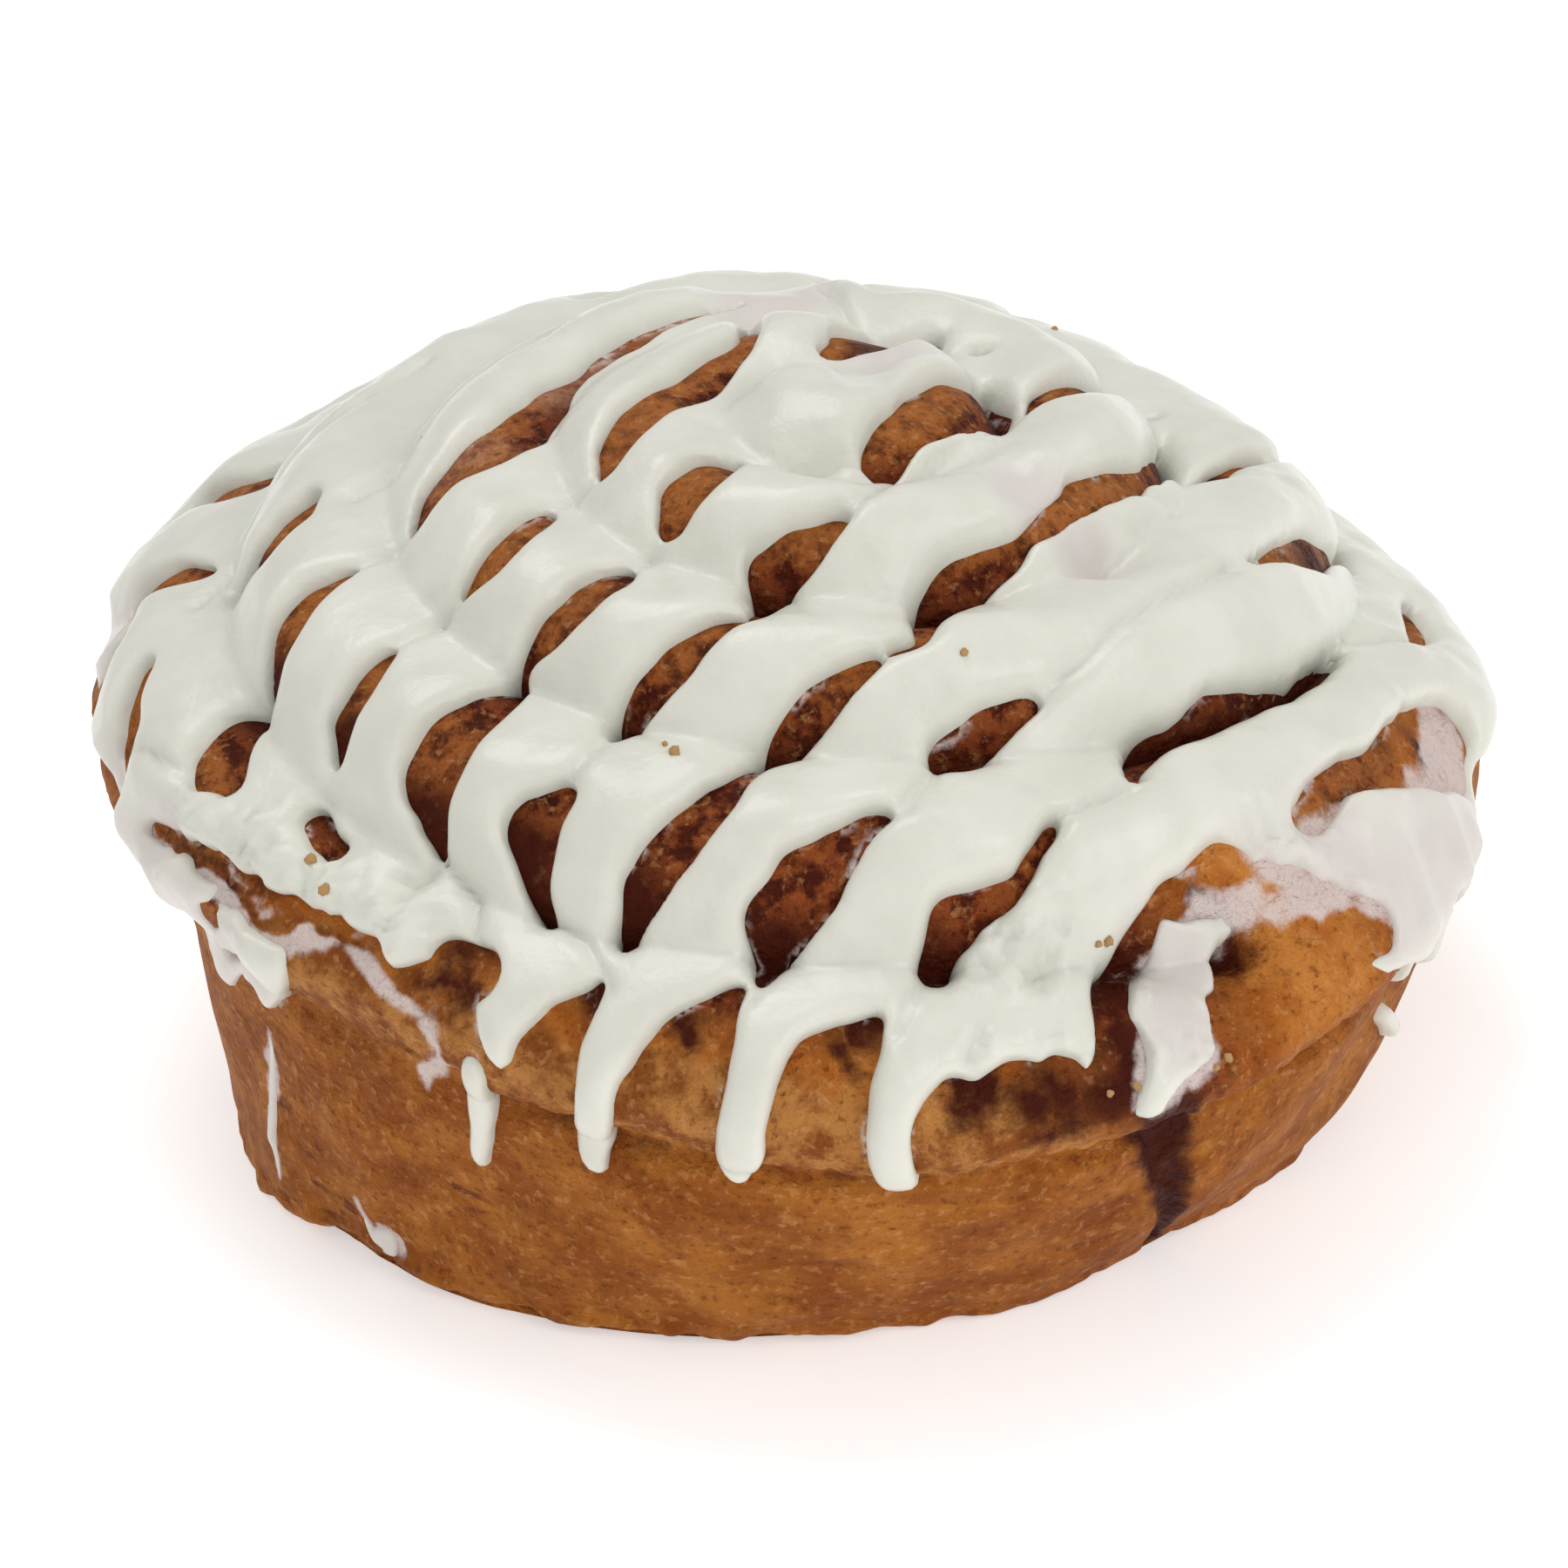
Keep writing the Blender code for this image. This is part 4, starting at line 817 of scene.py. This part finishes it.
# %% Icing material
CREAM_SHADE, CREAM_LIGHT, THIN_PINK = (0.635, 0.63, 0.555), (0.69, 0.685, 0.61), (0.62, 0.555, 0.535)
icing_finish = Finish("white_icing")
soft, fine = icing_finish.noise(120, 3), icing_finish.noise(700, 4)
cream = icing_finish.mix(icing_finish.span(soft, 0.3, 0.7), CREAM_SHADE, CREAM_LIGHT)
cream = icing_finish.mix(icing_finish.times(icing_finish.mark("thin"), 0.7), cream, THIN_PINK)
dull = icing_finish.span(icing_finish.mark("torn"), 0.2, 0.9, 0.30, 0.60)
icing_finish.set(Base_Color=cream, Roughness=dull, Normal=icing_finish.bump(fine, 0.12 * MM))
icing_finish.set(Subsurface_Weight=0.12, Subsurface_Scale=1.5 * MM, Specular_IOR_Level=0.32)

# %% The icing as a piece
icing = new_piece("thick_icing", np.vstack([upper, under]), all_faces, icing_finish.look, {
    "thin": np.hstack([thin, thin[:low_count]]),
    "torn": np.hstack([torn, torn[:low_count]]),
})

# %% Turn the shell's faces outwards
import bmesh
shell = bmesh.new()
shell.from_mesh(icing.data)
bmesh.ops.recalc_face_normals(shell, faces=shell.faces)
shell.to_mesh(icing.data)
shell.free()

# %% [markdown]
# ## The filling
# Cinnamon sugar melted into one thin dark sheet wound between the turns. It shows as a glossy line at the
# bottom of each groove, as a spiral underneath, and as a wide dark streak where the strip's tail ends.
# It is built column by column along the coil, like a wall drawn on a plan.

# %% Columns along the coil
SHEET_HALF, TAIL_HALF, TAIL_LENGTH = 0.75 * MM, 1.7 * MM, 9.0 * MM
SHEET_RISE, SHEET_BOTTOM, SHEET_START, KNEE = 0.6 * MM, 0.3 * MM, 5.0 * MM, 10.5 * MM
SEAM_INSET, LAST_STEP, COLUMN_STEP, LEVELS = 3.6 * MM, 4.2 * MM, 1.6 * MM, 9


def coil_columns(step):
    turn, turns = 2 * np.pi * (SHEET_START / COIL_WIDTH - COIL_TURNS), []
    while turn < np.radians(TAIL_ANGLE) - 0.02:
        turns.append(turn)
        turn += step / (COIL_WIDTH * (COIL_TURNS + turn / (2 * np.pi)))
    turns = np.array(turns)
    away = COIL_WIDTH * (COIL_TURNS + turns / (2 * np.pi))
    x, y = COIL_CENTRE[0] + away * np.cos(turns), COIL_CENTRE[1] + away * np.sin(turns)
    angle, top_half = np.arctan2(y, x), RUN <= LIP_RUN
    run = np.interp(np.hypot(x, y) / swell(angle, 1), LINE[top_half, 0], RUN[top_half])
    top = surface(angle, run, SHEET_RISE - GROOVE_DEPTH * groove_share(angle, run)) + PLAN_MIDDLE
    end = surface(np.radians(TAIL_ANGLE), LIP_RUN, -SEAM_INSET) + PLAN_MIDDLE
    return np.vstack([top[np.hypot(*(top[:, :2] - end[:2]).T) > LAST_STEP], end])


def narrowing(angle, height):
    """How far in the wall is at a height, as a share of the lip."""
    even = np.clip(height / (1 + waves(angle, LIP_LEAN) * MM / LIP_HEIGHT), 0, LIP_HEIGHT)
    low = RUN > LIP_RUN
    wall = np.interp(even, LINE[low, 1][::-1], LINE[low, 0][::-1])
    return wall * swell(angle, even / LIP_HEIGHT) / (LIP_RADIUS * swell(angle, 1))


columns = coil_columns(COLUMN_STEP)
print("filling", len(columns), "columns")

# %% Filling sheet
def filling_mesh(top):
    along = np.gradient(top[:, :2], axis=0)
    along /= np.hypot(*along.T)[:, None]
    along[-1] += top[-1, :2] / np.hypot(*top[-1, :2])
    along /= np.hypot(*along.T)[:, None]
    side = np.stack([-along[:, 1], along[:, 0]], 1)
    length = np.concatenate([[0], np.cumsum(np.hypot(*np.diff(top[:, :2], axis=0).T))])
    tail = np.clip(1 - (length[-1] - length) / TAIL_LENGTH, 0, 1)
    half = SHEET_HALF + (TAIL_HALF - SHEET_HALF) * tail
    rows = []
    for (x, y, z), across, width in zip(top, side, half):
        turn = np.arctan2(y, x)
        for height in [SHEET_BOTTOM, KNEE] + list(np.linspace(KNEE, z, LEVELS - 1)[1:]):
            centre = np.array([x, y]) * narrowing(turn, height) / narrowing(turn, z)
            rows.append((*(centre + across * width), height))
            rows.append((*(centre - across * width), height))
    row, faces = 2 * LEVELS, []
    for i in range(len(top) - 1):
        a, b = i * row, (i + 1) * row
        for k in range(0, row - 2, 2):
            faces.append((a + k, b + k, b + k + 2, a + k + 2))
            faces.append((a + k + 1, a + k + 3, b + k + 3, b + k + 1))
        faces.append((a + row - 2, b + row - 2, b + row - 1, a + row - 1))
        faces.append((a, a + 1, b + 1, b))
    for a, turned in ((0, False), ((len(top) - 1) * row, True)):
        ring = [a + k for k in range(0, row, 2)] + [a + k for k in range(row - 1, 0, -2)]
        faces.append(tuple(ring[::-1] if turned else ring))
    return np.array(rows) - PLAN_MIDDLE, faces


# %% [markdown]
# ## Colour of the filling
# The sugar caramelised, so it is almost black-brown and glossy, with a grain of undissolved sugar in it.

# %% Filling material and piece
CARAMEL_DARK, CARAMEL_LIGHT = (0.040, 0.008, 0.003), (0.090, 0.020, 0.007)
caramel = Finish("cinnamon_sugar")
grain = caramel.noise(1100, 3)
caramel.set(Base_Color=caramel.mix(caramel.span(grain, 0.35, 0.65), CARAMEL_DARK, CARAMEL_LIGHT))
caramel.set(Roughness=0.35, Normal=caramel.bump(grain, 0.4 * MM), Specular_IOR_Level=0.25)
rows, filling_faces = filling_mesh(columns)
mesh = bpy.data.meshes.new("wound_filling")
mesh.from_pydata(rows.tolist(), [], filling_faces)
filling = finished("wound_filling", mesh, caramel.look)
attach(filling, "root")
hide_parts("cinnamon_filling")
print("filling", len(mesh.polygons), "faces")

# %% [markdown]
# ## The underside
# The base baked flat against the tray, and the cut of the coil shows there as a dark spiral. A thin slab
# closes the bun, with a shallow channel over the filling so that the sheet shows inside it.

# %% Plan of the slab under the bun
SLAB_RINGS, SLAB_GAP, SLAB_TOP = 56, 0.05 * MM, 2.0 * MM
CHANNEL_HALF, CHANNEL_TOP, STAIN_HALF = 1.3 * MM, 1.2 * MM, 1.5 * MM
slab_angle, slab_run, slab_faces = ringed_disc(SLAB_RINGS, 1 / SLAB_RINGS)
rim_points = points[-6 * RINGS:] + PLAN_MIDDLE
rim_angle = np.arctan2(rim_points[:, 1], rim_points[:, 0]) % (2 * np.pi)
order = np.argsort(rim_angle)
rim_reach = np.interp(slab_angle, rim_angle[order], np.hypot(*rim_points[order, :2].T), period=2 * np.pi)
slab_x = slab_run * rim_reach * np.cos(slab_angle)
slab_y = slab_run * rim_reach * np.sin(slab_angle)
turns = np.arctan2(columns[:, 1], columns[:, 0])
ground = columns[:, :2] * (narrowing(turns, 0.0) / narrowing(turns, columns[:, 2]))[:, None]
apart = np.full(len(slab_x), 1.0)
for gx, gy in ground:
    apart = np.minimum(apart, np.hypot(slab_x - gx, slab_y - gy))

# %% Slab with its channel
lift = np.where(apart < CHANNEL_HALF, CHANNEL_TOP, SLAB_GAP)
slab_low = np.stack([slab_x, slab_y, lift], 1) - PLAN_MIDDLE
slab_high = np.stack([slab_x, slab_y, np.full(len(lift), SLAB_TOP)], 1) - PLAN_MIDDLE
count = len(slab_low)
rim = np.arange(count - 6 * SLAB_RINGS, count)
after = np.roll(rim, -1)
slab_sides = [np.stack([rim, after + count, after], 1), np.stack([rim, rim + count, after + count], 1)]
slab_faces = np.vstack([slab_faces[:, ::-1], slab_faces + count, *slab_sides])
slab_marks = {
    "wall": np.ones(2 * count),
    "syrup_and_shade": np.hstack([0.9 * (apart < STAIN_HALF), np.zeros(count)]),
}
slab = new_piece("bun_underside", np.vstack([slab_low, slab_high]), slab_faces, crust.look, slab_marks)

# %% [markdown]
# ## Crumbs
# A few tan crumbs sit on the icing and beside the seam. They are small rough lumps, all joined in one piece,
# put where they are seen, with a few more at the back: (u, v, size in millimetres).

# %% Crumb lumps
CRUMB_TAN = (0.42, 0.24, 0.09, 1)
CRUMBS = (
    (-8.7, -38.1, 0.5), (-9.6, -37.2, 0.28), (25.3, -49.9, 0.45), (24.4, -50.4, 0.3), (14.5, -30.0, 0.35),
    (-45.4, -37.7, 0.5), (-44.2, -41.5, 0.5), (35.6, -56.4, 0.4), (34.6, -57.4, 0.3), (27.2, -60.5, 0.4),
    (24.8, -61.5, 0.3), (-28.5, 12.0, 0.3), (12.0, 34.0, 0.35), (-5.0, 50.0, 0.4), (30.0, 38.0, 0.3),
)


def lump(size, seed):
    ball = bmesh.new()
    bmesh.ops.create_icosphere(ball, subdivisions=2, radius=size)
    for corner in ball.verts:
        corner.co *= 1 + 0.55 * noise.noise(corner.co * 1.6 / size + Vector((seed, 0, 0)))
    return ball


# %% All the crumbs as a piece
crumb_mesh = bmesh.new()
for index, (cu, cv, size) in enumerate(CRUMBS):
    spot = np.array([[cu, cv]])
    at = icing_surface(spot, icing_reach(spot[:, 0], spot[:, 1]))[0][0]
    ball = lump(size * MM, 3.0 * index)
    bmesh.ops.translate(ball, verts=ball.verts, vec=Vector(at))
    part = bpy.data.meshes.new("crumb")
    ball.to_mesh(part)
    ball.free()
    crumb_mesh.from_mesh(part)
    bpy.data.meshes.remove(part)
crumb_finish = Finish("tan_crumb")
crumb_pores = crumb_finish.bump(crumb_finish.noise(2500), 0.2 * MM)
crumb_finish.set(Base_Color=CRUMB_TAN, Roughness=0.75, Normal=crumb_pores)
mesh = bpy.data.meshes.new("loose_crumbs")
crumb_mesh.to_mesh(mesh)
crumb_mesh.free()
crumbs = finished("loose_crumbs", mesh, crumb_finish.look)
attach(crumbs, "root")
print("crumbs", len(CRUMBS))

# %% [markdown]
# ## Camera
# The bun is seen from a little above, with the camera rolled slightly. The view was matched to the object's
# outline, so it is written as an aim point, an angle above the level and a lens, and the rest follows.

# %% Camera
AIM = Vector((0.064 * MM, 0, 24.0 * MM)) - Vector(PLAN_MIDDLE)
ABOVE, ROLL, DISTANCE, LENS, SENSOR = 0.5409, -0.1003, 0.7, 187.85, 36.0
forward = Vector((0, np.cos(ABOVE), -np.sin(ABOVE)))
right, up = Vector((1, 0, 0)), Vector((1, 0, 0)).cross(forward)
across = right * np.cos(ROLL) + up * np.sin(ROLL)
upright = up * np.cos(ROLL) - right * np.sin(ROLL)
camera = add("camera", bpy.data.cameras.new("camera"))
facing = Matrix((across, upright, -forward)).transposed().to_4x4()
camera.matrix_world = Matrix.Translation(AIM - forward * DISTANCE) @ facing
camera.data.lens, camera.data.sensor_width = LENS, SENSOR
camera.data.clip_start, camera.data.clip_end = 0.05, 20.0
bpy.context.scene.camera = camera

# %% [markdown]
# ## Light and floor
# A white sweep and large soft lamps give the even light of a food photograph. The main lamp stands high and
# a little behind, so the wet icing catches it. One at the front right and a weak one at the front left open
# the shadows under the lip.

# %% Lamps: (name, place, width, watts)
LAMP_AIM = Vector((0, 0, 0.03))
LAMPS = (
    ("key_lamp", (-0.12, 0.30, 0.80), 0.5, 2.65),
    ("fill_lamp", (0.6, -0.5, 0.5), 0.6, 2.6),
    ("front_lamp", (-0.25, -0.8, 0.35), 0.6, 0.95),
)
for name, place, size, power in LAMPS:
    data = bpy.data.lights.new(name, "AREA")
    data.shape, data.size, data.energy = "DISK", size, power
    light = add(name, data)
    light.location = place
    light.rotation_euler = (LAMP_AIM - Vector(place)).to_track_quat("-Z", "Y").to_euler()

# %% Sky and floor
SKY_STRENGTH, FLOOR_HALF, PAPER_WHITE, PAPER_GLOW = 0.56, 3, (0.88, 0.88, 0.88, 1), 0.42
sky = bpy.data.worlds.new("studio")
sky.use_nodes = True
background = sky.node_tree.nodes["Background"]
background.inputs["Color"].default_value = (1, 1, 1, 1)
background.inputs["Strength"].default_value = SKY_STRENGTH
bpy.context.scene.world = sky
bpy.context.scene.view_settings.view_transform = "Standard"
floor_mesh = bpy.data.meshes.new("floor")
floor_corners = [(x * FLOOR_HALF, y * FLOOR_HALF, 0) for x, y in ((-1, -1), (1, -1), (1, 1), (-1, 1))]
floor_mesh.from_pydata(floor_corners, [], [(0, 1, 2, 3)])
floor = add("floor", floor_mesh)
paper = Finish("pale_paper")
paper.set(Base_Color=PAPER_WHITE, Roughness=0.9, Emission_Color=(1, 1, 1, 1), Emission_Strength=PAPER_GLOW)
floor_mesh.materials.append(paper.look)
